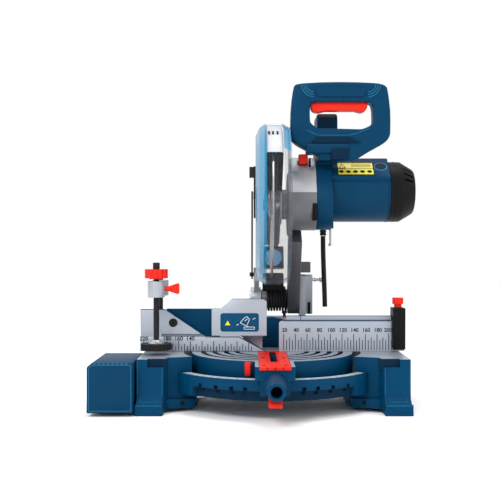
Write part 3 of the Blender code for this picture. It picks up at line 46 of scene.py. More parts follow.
scene.view_settings.view_transform = "Standard"

# Everything below is laid out from the saw's own centre: the blade's plane across, the face of the fence
# front to back, and the bench for height.  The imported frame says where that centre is.
blade_low, blade_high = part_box("saw_blade")
saw_centre = Vector(((blade_low.x + blade_high.x) / 2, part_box("fence_casting")[0].y, 0))


# ------------------------------------------------------------------ camera and studio
# A long lens a metre and a half in front of the blade, level with the pivot, on a white sweep with two soft
# boxes and a bright room around them.
camera = bpy.data.objects.new("camera", bpy.data.cameras.new("camera"))
camera.data.lens = 63.2
camera.location = (-0.0157, -1.462, 0.262)
camera.rotation_euler = (math.pi / 2, 0, 0)
scene.collection.objects.link(camera)
scene.camera = camera

world = bpy.data.worlds.new("studio")
scene.world = world
world.use_nodes = True
world.node_tree.nodes["Background"].inputs["Color"].default_value = (1.0, 1.0, 1.0, 1.0)
world.node_tree.nodes["Background"].inputs["Strength"].default_value = 1.0

for light_name, spot, aim, width, watts in (("key_softbox", (-0.9, -1.6, 1.7), (0, 0, 0.2), 0.8, 24.0),
        ("fill_softbox", (1.5, -1.2, 0.9), (0, 0, 0.2), 1.2, 5.0),
        ("top_softbox", (0.2, 0.1, 2.1), (0, 0, 0.2), 1.0, 18.0)):
    light = bpy.data.objects.new(light_name, bpy.data.lights.new(light_name, "AREA"))
    light.data.size = width
    light.data.energy = watts
    light.location = spot
    light.rotation_euler = (Vector(aim) - Vector(spot)).to_track_quat("-Z", "Y").to_euler()
    scene.collection.objects.link(light)


class Value:
    """Output of a shader node; arithmetic on it adds Math nodes."""

    def __init__(self, finish, socket):
        self.finish = finish
        self.socket = socket

    def maths(self, operation, first, second=0.5):
        return self.finish.node("ShaderNodeMath", {"operation": operation}, {0: first, 1: second})

    def __add__(self, other):
        return self.maths("ADD", self, other)

    def __sub__(self, other):
        return self.maths("SUBTRACT", self, other)

    def __rsub__(self, other):
        return self.maths("SUBTRACT", other, self)

    def __mul__(self, other):
        return self.maths("MULTIPLY", self, other)

    def __truediv__(self, other):
        return self.maths("DIVIDE", self, other)

    def __gt__(self, other):
        return self.maths("GREATER_THAN", self, other)

    def __lt__(self, other):
        return self.maths("LESS_THAN", self, other)

    __radd__ = __add__
    __rmul__ = __mul__


class Finish:
    """One finish of the saw: a Principled shader with procedural nodes in front of it."""

    def __init__(self, name, **constants):
        self.material = bpy.data.materials.new(name)
        self.material.use_nodes = True
        self.tree = self.material.node_tree
        self.shader = self.tree.nodes["Principled BSDF"]
        for socket, value in constants.items():
            self.shader.inputs[socket.replace("_", " ")].default_value = value

    def node(self, kind, settings=None, inputs=None, output=0):
        made_node = self.tree.nodes.new(kind)
        for key, value in (settings or {}).items():
            setattr(made_node, key, value)
        for key, value in (inputs or {}).items():
            self.feed(made_node.inputs[key], value)
        return Value(self, made_node.outputs[output])

    def feed(self, socket, value):
        if isinstance(value, Value):
            self.tree.links.new(value.socket, socket)
        else:
            socket.default_value = value

    def noise(self, scale, detail=2.0, stretch=(1, 1, 1)):
        place = self.node("ShaderNodeTexCoord", output="Object")
        place = self.node("ShaderNodeMapping", inputs={"Vector": place, "Scale": stretch})
        return self.node("ShaderNodeTexNoise", inputs={"Vector": place, "Scale": scale, "Detail": detail})

    def place(self, axis):
        """How far across (0), back (1) or up (2) a point lies."""
        spot = self.node("ShaderNodeTexCoord", output="Object")
        return self.node("ShaderNodeSeparateXYZ", inputs={0: spot}, output=axis)

    def mix(self, share, first, second):
        colours = {6: (*first, 1) if isinstance(first, tuple) else first,
            7: (*second, 1) if isinstance(second, tuple) else second}
        return self.node("ShaderNodeMix", {"data_type": "RGBA"}, {0: share, **colours}, output=2)

    def bump(self, height, distance, strength=1.0):
        bumped = self.node("ShaderNodeBump",
            inputs={"Height": height, "Distance": distance, "Strength": strength})
        self.feed(self.shader.inputs["Normal"], bumped)

    def drive(self, **channels):
        for socket, value in channels.items():
            self.feed(self.shader.inputs[socket.replace("_", " ")], value)


def even_finish(name, scale, low, high, **constants):
    """Finish whose colour only drifts between two close tones."""
    finish = Finish(name, **constants)
    finish.drive(Base_Color=finish.mix(finish.noise(scale), low, high))
    return finish


# The floor is a plain matt white sheet that runs out of view.
studio_white = even_finish("studio_white", 1.5, (0.97, 0.97, 0.97), (0.99, 0.99, 0.99), Roughness=0.9,
    Specular_IOR_Level=0.1)
floor_mesh = bmesh.new()
bmesh.ops.create_grid(floor_mesh, x_segments=1, y_segments=1, size=6.0)
floor_data = bpy.data.meshes.new("floor")
floor_mesh.to_mesh(floor_data)
floor_mesh.free()
floor_data.materials.append(studio_white.material)
floor = bpy.data.objects.new("floor", floor_data)
scene.collection.objects.link(floor)


# ------------------------------------------------------------------ power lead
# The rubber lead drops straight from a tapered strain relief under the motor's flange; it shows as far as a
# cut end a hand's width above the bench.
def round_stock(axis, centre, radius, start, end, sides=40, end_radius=None, ease=0.0):
    """Turned rod or cone between two places along an axis, its end edges eased."""
    stock = bmesh.new()
    bmesh.ops.create_cone(stock, cap_ends=True, segments=sides, radius1=radius,
        radius2=radius if end_radius is None else end_radius, depth=end - start)
    if ease:
        rims = [edge for edge in stock.edges if edge.calc_face_angle(0) > 1.0]
        bmesh.ops.bevel(stock, geom=rims, offset=ease, segments=3, profile=0.5, affect="EDGES", material=-1)
    middle = (start + end) / 2
    turn = {"X": Matrix.Rotation(math.pi / 2, 4, "Y"), "Y": Matrix.Rotation(-math.pi / 2, 4, "X"),
        "Z": Matrix.Identity(4)}[axis]
    spot = {"X": (middle, *centre), "Y": (centre[0], middle, centre[1]), "Z": (*centre, middle)}[axis]
    bmesh.ops.transform(stock, verts=stock.verts, matrix=Matrix.Translation(spot) @ turn)
    return stock


def turned_stock(axis, centre, profile, steps=64, start=0.0, sweep=360.0):
    """Closed outline of (radius, along) turned about an axis through centre."""
    stock = bmesh.new()
    corners = [stock.verts.new((r, 0, along)) for r, along in profile]
    outline = [stock.edges.new((corners[i - 1], corners[i])) for i in range(len(corners))]
    whole = sweep >= 360
    if not whole:
        outline.append(stock.faces.new(corners))
    bmesh.ops.rotate(stock, verts=corners, cent=(0, 0, 0),
        matrix=Matrix.Rotation(math.radians(start), 3, "Z"))
    bmesh.ops.spin(stock, geom=[*outline, *corners], cent=(0, 0, 0), axis=(0, 0, 1),
        angle=math.radians(sweep), steps=steps, use_merge=whole)
    bmesh.ops.remove_doubles(stock, verts=stock.verts, dist=1e-6)
    turn = {"X": Matrix(((0, 0, 1, 0), (1, 0, 0, 0), (0, 1, 0, 0), (0, 0, 0, 1))),
        "Y": Matrix(((0, 1, 0, 0), (0, 0, 1, 0), (1, 0, 0, 0), (0, 0, 0, 1))), "Z": Matrix.Identity(4)}[axis]
    spot = {"X": (0, *centre), "Y": (centre[0], 0, centre[1]), "Z": (*centre, 0)}[axis]
    bmesh.ops.transform(stock, verts=stock.verts, matrix=Matrix.Translation(spot) @ turn)
    bmesh.ops.recalc_face_normals(stock, faces=stock.faces)
    return stock


def fitted(name, stock, body, finishes, stands_for=(), choose=None, smooth=32):
    """Piece in its place on the saw, riding on a body of the frame."""
    bmesh.ops.translate(stock, verts=stock.verts, vec=saw_centre)
    data = bpy.data.meshes.new(name)
    stock.normal_update()
    if choose:
        for face in stock.faces:
            face.material_index = choose(face.calc_center_median() - saw_centre, face.normal)
    stock.to_mesh(data)
    stock.free()
    data.shade_smooth()
    data.set_sharp_from_angle(angle=math.radians(smooth))
    for finish in finishes:
        data.materials.append(finish.material)
    item = bpy.data.objects.new(name, data)
    scene.collection.objects.link(item)
    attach(item, body)
    if stands_for:
        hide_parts(*stands_for)
    return item


lead_rubber = Finish("lead_rubber", Specular_IOR_Level=0.15)
lead_grain = lead_rubber.noise(700, 3)
lead_rubber.drive(Base_Color=lead_rubber.mix(lead_grain, (0.006, 0.006, 0.007), (0.018, 0.018, 0.020)),
    Roughness=0.45 + lead_grain * 0.25)
lead_rubber.bump(lead_grain, 0.00008, 0.5)

lead_diameter = 0.0087
lead_route = [Vector(spot) + saw_centre for spot in ((0.0950, 0.090, 0.2875), (0.0950, 0.090, 0.275),
    (0.0953, 0.090, 0.255), (0.0959, 0.0901, 0.235), (0.0966, 0.0903, 0.215), (0.0974, 0.0905, 0.195),
    (0.0980, 0.0906, 0.175), (0.0984, 0.0907, 0.159))]


def smooth_route(points, pieces):
    """Points along a smooth curve through the given ones."""
    padded = [points[0] * 2 - points[1], *points, points[-1] * 2 - points[-2]]
    fine = []
    for a, b, c, d in zip(padded, padded[1:], padded[2:], padded[3:]):
        for i in range(pieces):
            t = i / pieces
            fine.append(0.5 * (
                2 * b + (c - a) * t + (2 * a - 5 * b + 4 * c - d) * t * t + (3 * b - a - 3 * c + d) * t ** 3))
    return [*fine, points[-1]]


lead_points = smooth_route(lead_route, 3)
lead_curve = bpy.data.curves.new("power_lead", "CURVE")
lead_curve.dimensions = "3D"
lead_curve.bevel_depth = lead_diameter / 2
lead_curve.bevel_resolution = 6
lead_curve.use_fill_caps = True
lead_line = lead_curve.splines.new("POLY")
lead_line.points.add(len(lead_points) - 1)
for bead, spot in zip(lead_line.points, lead_points):
    bead.co = (*spot, 1.0)
lead_line.use_smooth = True
lead_curve.materials.append(lead_rubber.material)
power_lead = bpy.data.objects.new("power_lead", lead_curve)
scene.collection.objects.link(power_lead)
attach(power_lead, "head")
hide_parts("power_cord")
lead_length = sum((b - a).length for a, b in zip(lead_points, lead_points[1:]))

gland_outline = [(0.0002, 0.2882), (0.0056, 0.2882), (0.0058, 0.2920)]
for rib in range(4):
    rib_foot = 0.2930 + rib * 0.0042
    gland_outline += [(0.0052 + rib * 0.0002, rib_foot), (0.0052 + rib * 0.0002, rib_foot + 0.0014),
        (0.0062 + rib * 0.0003, rib_foot + 0.0018), (0.0062 + rib * 0.0003, rib_foot + 0.0034)]
gland_outline += [(0.0088, 0.3100), (0.0088, 0.3190), (0.0002, 0.3190)]
fitted("cord_strain_relief", turned_stock("Z", (0.0950, 0.090), gland_outline, 32), "head", [lead_rubber],
    ["cord_gland"])


# ------------------------------------------------------------------ base
# One aluminium casting: two wings with machined silver tops, feet for the bench bolts, and the quadrant ring
# in front whose lower edge is notched for the table's stops.  Sprayed dark blue after casting.
def from_frame(node, dissolve=1.0):
    """Copy of a node of the frame, welded and with its flat faces joined, drawn from the saw's centre."""
    stock = bmesh.new()
    stock.from_mesh(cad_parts[node].data)
    bmesh.ops.remove_doubles(stock, verts=stock.verts, dist=2e-6)
    bmesh.ops.dissolve_limit(stock, angle_limit=math.radians(dissolve), verts=stock.verts, edges=stock.edges)
    bmesh.ops.translate(stock, verts=stock.verts, vec=-saw_centre)
    return stock


def eased(stock, width, segments=2, least=32.0):
    """Rounds the sharp edges, except around corners too small for it."""
    stock.normal_update()
    small = {corner for edge in stock.edges if edge.calc_length() < 2.6 * width for corner in edge.verts}
    sharp = [
        edge for edge in stock.edges if len(
            edge.link_faces) == 2 and edge.calc_face_angle(0) > math.radians(least) and not small.intersection(
                edge.verts)]
    bmesh.ops.bevel(stock, geom=sharp, offset=width, segments=segments, profile=0.5, affect="EDGES",
        clamp_overlap=True, material=-1)
    return stock


def refined(node, ease, body, finishes, choose=None, segments=2):
    """A node of the frame drawn again with eased edges and its own finishes."""
    stock = from_frame(node)
    if ease:
        eased(stock, ease, segments)
    return fitted(node + "_detailed", stock, body, finishes, [node], choose)


def squared_stock(x0, x1, y0, y1, z0, z1, ease=0.0, segments=2):
    """Block between two corners with eased edges."""
    stock = bmesh.new()
    bmesh.ops.create_cube(stock, size=1.0)
    bmesh.ops.scale(stock, verts=stock.verts, vec=(x1 - x0, y1 - y0, z1 - z0))
    bmesh.ops.translate(stock, verts=stock.verts, vec=((x0 + x1) / 2, (y0 + y1) / 2, (z0 + z1) / 2))
    if ease:
        bmesh.ops.bevel(stock, geom=stock.edges[:], offset=ease, segments=segments, profile=0.5,
            affect="EDGES", material=-1)
    return stock


def slab(axis, outline, start, end, ease=0.0, segments=2):
    """Outline across an axis, pushed out along it, with eased edges."""
    stock = bmesh.new()
    spots = {"X": lambda a, b: (start, a, b),
             "Y": lambda a, b: (a, start, b),
             "Z": lambda a, b: (a, b, start)}
    face = stock.faces.new([stock.verts.new(spots[axis](a, b)) for a, b in outline])
    push = {"X": (end - start, 0, 0), "Y": (0, end - start, 0), "Z": (0, 0, end - start)}[axis]
    grown = bmesh.ops.extrude_face_region(stock, geom=[face])["geom"]
    bmesh.ops.translate(stock, verts=[item for item in grown if isinstance(item, bmesh.types.BMVert)],
        vec=push)
    bmesh.ops.recalc_face_normals(stock, faces=stock.faces)
    if ease:
        eased(stock, ease, segments, 20.0)
    return stock


def together(*stocks):
    """Several shapes carried on as one piece."""
    whole = bmesh.new()
    for stock in stocks:
        carrier = bpy.data.meshes.new("carrier")
        stock.to_mesh(carrier)
        stock.free()
        whole.from_mesh(carrier)
        bpy.data.meshes.remove(carrier)
    return whole


def milled(stock, *cutters, operation="DIFFERENCE"):
    """Stock with each cutter's shape taken out of it."""
    for cutter in cutters:
        pair = []
        for shape in (stock, cutter):
            data = bpy.data.meshes.new("milling")
            shape.to_mesh(data)
            shape.free()
            pair.append(bpy.data.objects.new("milling", data))
            scene.collection.objects.link(pair[-1])
        boolean = pair[0].modifiers.new("milling", "BOOLEAN")
        boolean.operation = operation
        boolean.solver = "EXACT"
        boolean.object = pair[1]
        stock = bmesh.new()
        stock.from_object(pair[0], bpy.context.evaluated_depsgraph_get())
        for item in pair:
            data = item.data
            bpy.data.objects.remove(item)
            bpy.data.meshes.remove(data)
        bmesh.ops.remove_doubles(stock, verts=stock.verts, dist=2e-6)
        bmesh.ops.dissolve_limit(stock, angle_limit=math.radians(1), verts=stock.verts, edges=stock.edges)
    return stock


def both_sides(*stocks):
    """Shapes on the right together with their twins on the left."""
    whole = together(*stocks)
    twin = whole.copy()
    bmesh.ops.scale(twin, verts=twin.verts, vec=(-1, 1, 1))
    bmesh.ops.reverse_faces(twin, faces=twin.faces)
    return together(whole, twin)


casting_blue = Finish("casting_blue", Specular_IOR_Level=0.06)
spray = casting_blue.noise(28, 4)
orange_peel = casting_blue.noise(620, 2)
casting_blue.drive(Base_Color=casting_blue.mix(spray, (0.0002, 0.036, 0.090), (0.0004, 0.047, 0.114)),
    Roughness=0.34 + orange_peel * 0.16)
casting_blue.bump(orange_peel, 0.00012, 0.6)

table_silver = Finish("table_silver", Metallic=0.55)
mill_marks = table_silver.noise(60, 5, (1, 26, 26))
handling = table_silver.noise(22, 3)
table_silver.drive(
    Base_Color=table_silver.mix(mill_marks * 0.7 + handling * 0.3, (0.27, 0.30, 0.35), (0.46, 0.50, 0.56)),
    Roughness=0.26 + mill_marks * 0.22)
table_silver.bump(mill_marks, 0.00005, 0.5)


def quadrant_tool(angle, half_width, low, high, inner, outer):
    """Cutter across the ring at an angle from straight ahead."""
    cutter = squared_stock(-half_width, half_width, -outer, -inner, low, high)
    bmesh.ops.rotate(cutter, verts=cutter.verts, cent=(0, 0, 0),
        matrix=Matrix.Rotation(math.radians(angle), 3, "Z"))
    return cutter


table_top = 0.088
base = from_frame("base_casting")
base = milled(base, turned_stock("Z", (0, 0),
        [(0.1660, 0.020), (0.185, 0.020), (0.185, 0.047), (0.1660, 0.047)], 64, 222, 96))
base = milled(base, together(
        *[quadrant_tool(angle, 0.0032, 0.040, 0.0527, 0.1650, 0.178)
            for angle in (0, -15, 15, -22.5, 22.5, -31.6, 31.6, -42, 42)]))
foot_ramp = slab("X", [(-0.1095, 0.0305), (-0.1095, 0.0165), (-0.1228, 0.0165)], 0.1765, 0.2175)
inner_foot = slab("Z",
    [(0.127, -0.078), (0.168, -0.0935), (0.178, -0.0935), (0.178, -0.072), (0.127, -0.062)], 0.0062, 0.0215,
    0.0012)
base = milled(base, both_sides(foot_ramp), operation="UNION")
# Darker blue: painted shade in the base's recesses and the table's grooves; also used on the brush cap, the
# handle mount cover and the grip foot panel.
deep_blue_and_shade = even_finish("deep_blue_and_shade", 40, (0.0002, 0.013, 0.034), (0.0003, 0.019, 0.048),
    Specular_IOR_Level=0.08, Roughness=0.5)


def casting_paint(spot, normal):
    """Silver on the milled tops; the ring's recessed band below the notches drawn darker as painted shade."""
    out = math.hypot(spot.x, spot.y)
    if normal.z > 0.9 and abs(spot.z - table_top) < 0.0008:
        return 1
    return 2 if spot.y < -0.09 and abs(spot.x) < 0.124 and out < 0.1735 and spot.z < 0.0527 else 0


fitted("base_casting_detailed", eased(base, 0.0011), "base", [casting_blue, table_silver, deep_blue_and_shade],
    ["base_casting"], casting_paint)
# The backs of the notches at the top of the posts are drawn darker: painted shade in the recess.
notch_backs = both_sides(squared_stock(0.1700, 0.2015, -0.1040, -0.0990, 0.0700, 0.0872))
fitted("post_notch_backs", notch_backs, "base", [deep_blue_and_shade])
fitted("inner_feet", both_sides(inner_foot), "base", [casting_blue])
# Flat black for screws, marks and print, and also painted shade inside the upper cover, in its vents and in
# the ear's slot.
black_and_shade = even_finish("black_and_shade", 300, (0.004, 0.004, 0.005), (0.012, 0.012, 0.014), Roughness=0.8,
    Specular_IOR_Level=0.1)
foot_screws = both_sides(round_stock("Y", (0.147, 0.0150), 0.0034, -0.0872, -0.0848, 24, ease=0.0006))
fitted("inner_foot_screws", foot_screws, "base", [black_and_shade])

# Thin raised strips run up the posts and round the sloping top of each front foot, drawn lighter than the
# paint: painted highlights along the casting's edges.
post_highlight_strips = both_sides(squared_stock(0.2163, 0.2172, -0.1105, -0.1097, 0.0310, 0.0860),
    squared_stock(0.1770, 0.1778, -0.1105, -0.1097, 0.0310, 0.0740),
    squared_stock(0.1835, 0.1842, -0.1180, -0.1165, 0.0222, 0.0262),
    squared_stock(0.2110, 0.2117, -0.1180, -0.1165, 0.0222, 0.0262),
    squared_stock(0.1835, 0.2117, -0.1195, -0.1175, 0.0212, 0.0219),
    squared_stock(0.1770, 0.2180, -0.1234, -0.1226, 0.0158, 0.0168))
post_highlight = even_finish("post_highlight", 300, (0.006, 0.110, 0.220), (0.010, 0.140, 0.260), Roughness=0.4,
    Specular_IOR_Level=0.1)
fitted("post_highlight_strips", post_highlight_strips, "base", [post_highlight])

# Steel centre bolt that the table turns on.
zinc_plate = Finish("zinc_plate", Metallic=0.95)
plating = zinc_plate.noise(90, 3)
zinc_plate.drive(Base_Color=zinc_plate.mix(plating, (0.46, 0.47, 0.49), (0.70, 0.70, 0.71)),
    Roughness=0.22 + plating * 0.2)
zinc_plate.bump(zinc_plate.noise(900, 2), 0.00003, 0.5)
refined("mitre_pivot_bolt", 0.0006, "base", [zinc_plate])


# ------------------------------------------------------------------ mitre scale
# Bright strip on the ring's ledge, divided in degrees with a longer line every five.
scale_silver = Finish("scale_silver", Metallic=0.35, Roughness=0.38)
east = scale_silver.place(0) - saw_centre.x
north = scale_silver.place(1) - saw_centre.y
bearing = scale_silver.node("ShaderNodeMath", {"operation": "ARCTAN2"},
    {0: east, 1: 0 - north}) * (180 / math.pi)
reach = scale_silver.node("ShaderNodeMath", {"operation": "SQRT"}, {0: east * east + north * north})


def divisions(step, thickness):
    """1 on a line every step degrees."""
    share = bearing / step + 0.5
    share = scale_silver.node("ShaderNodeMath", {"operation": "FRACT"}, {0: share}) - 0.5
    share = scale_silver.node("ShaderNodeMath", {"operation": "ABSOLUTE"}, {0: share})
    return share < thickness / step


short_lines = divisions(1.0, 0.13) * (reach > 0.1690)
long_lines = divisions(5.0, 0.20) * (reach > 0.1645)
lines = scale_silver.node("ShaderNodeMath", {"operation": "MAXIMUM"}, {0: short_lines, 1: long_lines})
scale_silver.drive(Base_Color=scale_silver.mix(lines, (0.55, 0.60, 0.66), (0.01, 0.02, 0.05)))
fitted("mitre_scale_divided", eased(from_frame("mitre_scale"), 0.0003), "base", [scale_silver],
    ["mitre_scale"])


# ------------------------------------------------------------------ fence
# Aluminium casting bolted across the wings: its front faces are milled bright and printed with millimetre
# rulers, edges and back keep the blue paint.
def bright_front(spot, normal):
    """Silver where the casting is milled to take the work."""
    if normal.z > 0.9 and abs(spot.z - 0.113) < 0.0008 and spot.x < -0.11:
        return 1
    return 1 if normal.y < -0.9 and spot.y < 0.014 else 0


bright_face = Finish("bright_face", Metallic=0.45)
face_marks = bright_face.noise(45, 5, (1, 1, 22))
bright_face.drive(Base_Color=bright_face.mix(face_marks, (0.32, 0.355, 0.41), (0.42, 0.46, 0.52)),
    Roughness=0.30 + face_marks * 0.20)
bright_face.bump(face_marks, 0.00004, 0.5)

refined("fence_casting", 0.0008, "base", [casting_blue, bright_face], bright_front)

# Navy edge lines where the paint laps on to the milled faces.
edge_navy = even_finish("edge_navy", 200, (0.002, 0.020, 0.060), (0.004, 0.035, 0.095), Roughness=0.4,
    Specular_IOR_Level=0.1)
edge_lines = together(squared_stock(0.0190, 0.2045, -0.0002, 0.0012, 0.1398, 0.1411),
    squared_stock(-0.2262, -0.1835, 0.0063, 0.0072, 0.1590, 0.1602),
    squared_stock(-0.1140, -0.0560, -0.0002, 0.0012, 0.1122, 0.1132), slab("Y",
        [(-0.0563, 0.1120), (-0.0119, 0.0872 + 0.0011), (-0.0105, 0.0883), (-0.0556, 0.1133)], -0.0002,
        0.0012),
    slab("Y", [(-0.1848, 0.1602), (-0.1840, 0.1592), (-0.1138, 0.1122), (-0.1146, 0.1132)], 0.0063, 0.0072))
fitted("fence_edge_paint", edge_lines, "base", [edge_navy])
fitted("rear_bar_seam", squared_stock(0.0493, 0.0503, 0.0106, 0.0112, 0.1412, 0.1484), "base", [edge_navy])


def lettering(words, size, centre, bold=0.0):
    """Flat printed text facing the operator, centred at (x, z)."""
    curve = bpy.data.curves.new("lettering", "FONT")
    curve.body = words
    curve.size = size
    curve.align_x = "CENTER"
    curve.align_y = "CENTER"
    curve.extrude = 0.00012
    curve.offset = bold
    carrier = bpy.data.objects.new("lettering", curve)
    scene.collection.objects.link(carrier)
    flat = bpy.data.meshes.new_from_object(carrier.evaluated_get(bpy.context.evaluated_depsgraph_get()))
    printed = bmesh.new()
    printed.from_mesh(flat)
    bpy.data.meshes.remove(flat)
    bpy.data.objects.remove(carrier)
    bpy.data.curves.remove(curve)
    bmesh.ops.rotate(printed, verts=printed.verts, cent=(0, 0, 0),
        matrix=Matrix.Rotation(math.pi / 2, 3, "X"))
    bmesh.ops.translate(printed, verts=printed.verts, vec=(centre[0], -0.0001, centre[1]))
    bmesh.ops.remove_doubles(printed, verts=printed.verts, dist=1e-6)
    return printed


scale_ink = even_finish("scale_ink", 400, (0.004, 0.010, 0.028), (0.010, 0.022, 0.050), Roughness=0.5,
    Specular_IOR_Level=0.1)
marks = []
for distance in range(20, 206, 5):
    tick_top = 0.1180 if distance % 20 == 0 else 0.1120 if distance % 10 == 0 else 0.1076
    tick = distance / 1000
    marks.append(squared_stock(tick - 0.0006, tick + 0.0006, -0.0002, 0.0001, 0.0900, tick_top))
    if distance % 20 == 0 and distance < 201:
        marks.append(lettering(str(distance), 0.0092, (tick + (0.0015 if distance < 200 else -0.001), 0.1245),
            0.0002))
for distance in range(35, 221, 5):
    tick = -distance / 1000
    tick_top = 0.1057 if distance % 20 == 0 else 0.1010 if distance % 10 == 0 else 0.0970
    tick_top = min(tick_top, 0.0883 + (distance - 14) * 0.00057)
    marks.append(squared_stock(tick - 0.0006, tick + 0.0006, -0.0002, 0.0001, 0.0890, tick_top))
    if distance in (140, 160, 180, 220):
        marks.append(lettering(str(distance), 0.0098, (tick, 0.1098), 0.0002))
fitted("fence_rulers", together(*marks), "base", [scale_ink])


def socket_screw(centre, radius, start, end, recess):
    """Round head with a hexagon recess, facing the operator."""
    head = round_stock("Y", centre, radius, start, end, 40, ease=radius * 0.12)
    return milled(head, round_stock("Y", centre, recess, start - 0.001, start + (end - start) * 0.6, 6))


black_oxide = Finish("black_oxide", Specular_IOR_Level=0.10)
oxide = black_oxide.noise(160, 3)
black_oxide.drive(Base_Color=black_oxide.mix(oxide, (0.010, 0.010, 0.012), (0.030, 0.030, 0.034)),
    Roughness=0.30 + oxide * 0.25)
black_oxide.bump(oxide, 0.00004, 0.4)
clamp_bolt = together(socket_screw((-0.170, 0.1366), 0.0070, 0.0069, 0.0110, 0.0036),
    round_stock("Y", (-0.170, 0.1366), 0.0032, 0.0105, 0.0128, 20))
fitted("fence_clamp_bolt_detailed", clamp_bolt, "base", [black_oxide], ["fence_clamp_screw"])


# ------------------------------------------------------------------ sliding fence
# Tall upper half of the left fence.  Its bright face carries a printed plate that says to move it aside
# before the head is tilted; the rail behind it is painted.
refined("sliding_fence", 0.0007, "sliding_fence", [casting_blue, bright_face],
    lambda spot, normal: 1 if normal.y < -0.9 and spot.y < 0.0075 else 0)
fitted("sliding_fence_rail_foot", squared_stock(-0.1820, -0.0900, 0.0136, 0.0168, 0.1126, 0.1190),
    "sliding_fence", [casting_blue])


def rounded_plate(x0, x1, z0, z1, front, back, radius):
    """Upright plate with rounded corners."""
    plate = slab("Y", [(x0, z0), (x1, z0), (x1, z1), (x0, z1)], front, back)
    corners = [edge for edge in plate.edges if abs(edge.verts[0].co.y - edge.verts[1].co.y) > 1e-7]
    bmesh.ops.bevel(plate, geom=corners, offset=radius, segments=6, profile=0.5, affect="EDGES", material=-1)
    return plate


plate_blue = even_finish("plate_blue", 120, (0.001, 0.055, 0.125), (0.002, 0.066, 0.150), Roughness=0.3,
    Specular_IOR_Level=0.1)
print_white = even_finish("print_white", 300, (0.72, 0.76, 0.80), (0.85, 0.88, 0.90), Roughness=0.4)
print_yellow = even_finish("print_yellow", 300, (0.80, 0.66, 0.010), (0.90, 0.76, 0.020), Roughness=0.4)
fitted("fence_plate", rounded_plate(-0.0885, -0.0225, 0.1220, 0.1538, -0.0003, 0.0, 0.0045), "sliding_fence",
    [plate_blue])


def stroke(x0, z0, x1, z1, width, front=-0.0005, back=-0.0002):
    """Straight printed line between two places on an upright face."""
    along = Vector((x1 - x0, z1 - z0)).normalized() * width / 2
    side = Vector((-along.y, along.x))
    return slab("Y", [(x0 + side.x, z0 + side.y), (x0 - side.x, z0 - side.y), (x1 - side.x, z1 - side.y),
            (x1 + side.x, z1 + side.y)], front, back)


def drawn(corners, width, front=-0.0005, back=-0.0002):
    """Printed line through several places, each leg a stroke."""
    return [stroke(*start, *end, width, front, back) for start, end in zip(corners, corners[1:])]


picture = together(*drawn(
    [(-0.0480, 0.1262), (-0.0300, 0.1262), (-0.0300, 0.1300), (-0.0480, 0.1300), (-0.0480, 0.1262)], 0.0008),
    *drawn([(-0.0400, 0.1300), (-0.0545, 0.1370), (-0.0490, 0.1440), (-0.0430, 0.1480), (-0.0385, 0.1430),
        (-0.0430, 0.1330)], 0.0009), *[
        stroke(*ends, 0.0009) for ends in ((-0.0470, 0.1400, -0.0420, 0.1440),
            (-0.0330, 0.1430, -0.0285, 0.1455), (-0.0610, 0.1330, -0.0570, 0.1350))])
fitted("fence_plate_picture", picture, "sliding_fence", [print_white])
fitted("fence_plate_warning",
    slab("Y", [(-0.0805, 0.1330), (-0.0715, 0.1330), (-0.0760, 0.1410)], -0.0005, -0.0002), "sliding_fence",
    [print_yellow])


# ------------------------------------------------------------------ length stop
# Moulded black stop that hooks over the right end of the fence, held by a red thumb screw.
black_moulding = Finish("black_moulding", Specular_IOR_Level=0.08)
spark = black_moulding.noise(900, 2)
black_moulding.drive(Base_Color=black_moulding.mix(spark, (0.003, 0.003, 0.0035), (0.009, 0.009, 0.010)),
    Roughness=0.36 + spark * 0.2)
black_moulding.bump(spark, 0.00010, 0.5)
red_moulding = Finish("red_moulding", Specular_IOR_Level=0.08)
swirl = red_moulding.noise(35, 3)
red_moulding.drive(Base_Color=red_moulding.mix(swirl, (0.62, 0.018, 0.010), (0.74, 0.030, 0.016)),
    Roughness=0.30 + swirl * 0.15)
red_moulding.bump(red_moulding.noise(700, 2), 0.00006, 0.4)
refined("length_stop", 0.0010, "length_stop", [black_moulding])
stop_marks = together(*[squared_stock(0.2095, 0.2235, -0.0124, -0.0119, height, height + 0.0016, 0.0002)
    for height in (0.106, 0.1135, 0.121)], *[
        squared_stock(0.2068 + i * 0.0033, 0.2086 + i * 0.0033, -0.0126, -0.0060, 0.0915, 0.0935, 0.0003)
        for i in range(6)])
fitted("length_stop_marks", stop_marks, "length_stop", [black_moulding])


def fluted(centre, radius, depth, flutes, low, high, ease):
    """Upright grip with rounded flutes."""
    outline = []
    for i in range(flutes * 8):
        angle = 2 * math.pi * i / (flutes * 8)
        reach_out = radius - depth * (0.5 - 0.5 * math.cos(flutes * angle)) ** 2
        outline.append((centre[0] + reach_out * math.cos(angle), centre[1] + reach_out * math.sin(angle)))
    return slab("Z", outline, low, high, ease, 3)


stop_centre = (0.2165, 0.005)
thumb_screw = together(round_stock("Z", stop_centre, 0.0030, 0.1525, 0.165, 24),
    round_stock("Z", stop_centre, 0.0065, 0.1633, 0.1700, 40, ease=0.0006),
    fluted(stop_centre, 0.0095, 0.0008, 14, 0.1693, 0.1800, 0.0006))
fitted("length_stop_knob_detailed", thumb_screw, "stop_knob", [red_moulding], ["stop_knob"])


# ------------------------------------------------------------------ pull-out extension
# Moulded blue box that slides out of the base on a bent steel rod and holds up long work.
moulded_blue = Finish("moulded_blue", Specular_IOR_Level=0.08)
mould_flow = moulded_blue.noise(24, 3)
mould_grain = moulded_blue.noise(1100, 2)
moulded_blue.drive(Base_Color=moulded_blue.mix(mould_flow, (0.0001, 0.031, 0.078), (0.0003, 0.041, 0.098)),
    Roughness=0.36 + mould_grain * 0.18)
moulded_blue.bump(mould_grain, 0.00008, 0.5)
refined("extension_table", 0.0012, "extension", [moulded_blue])
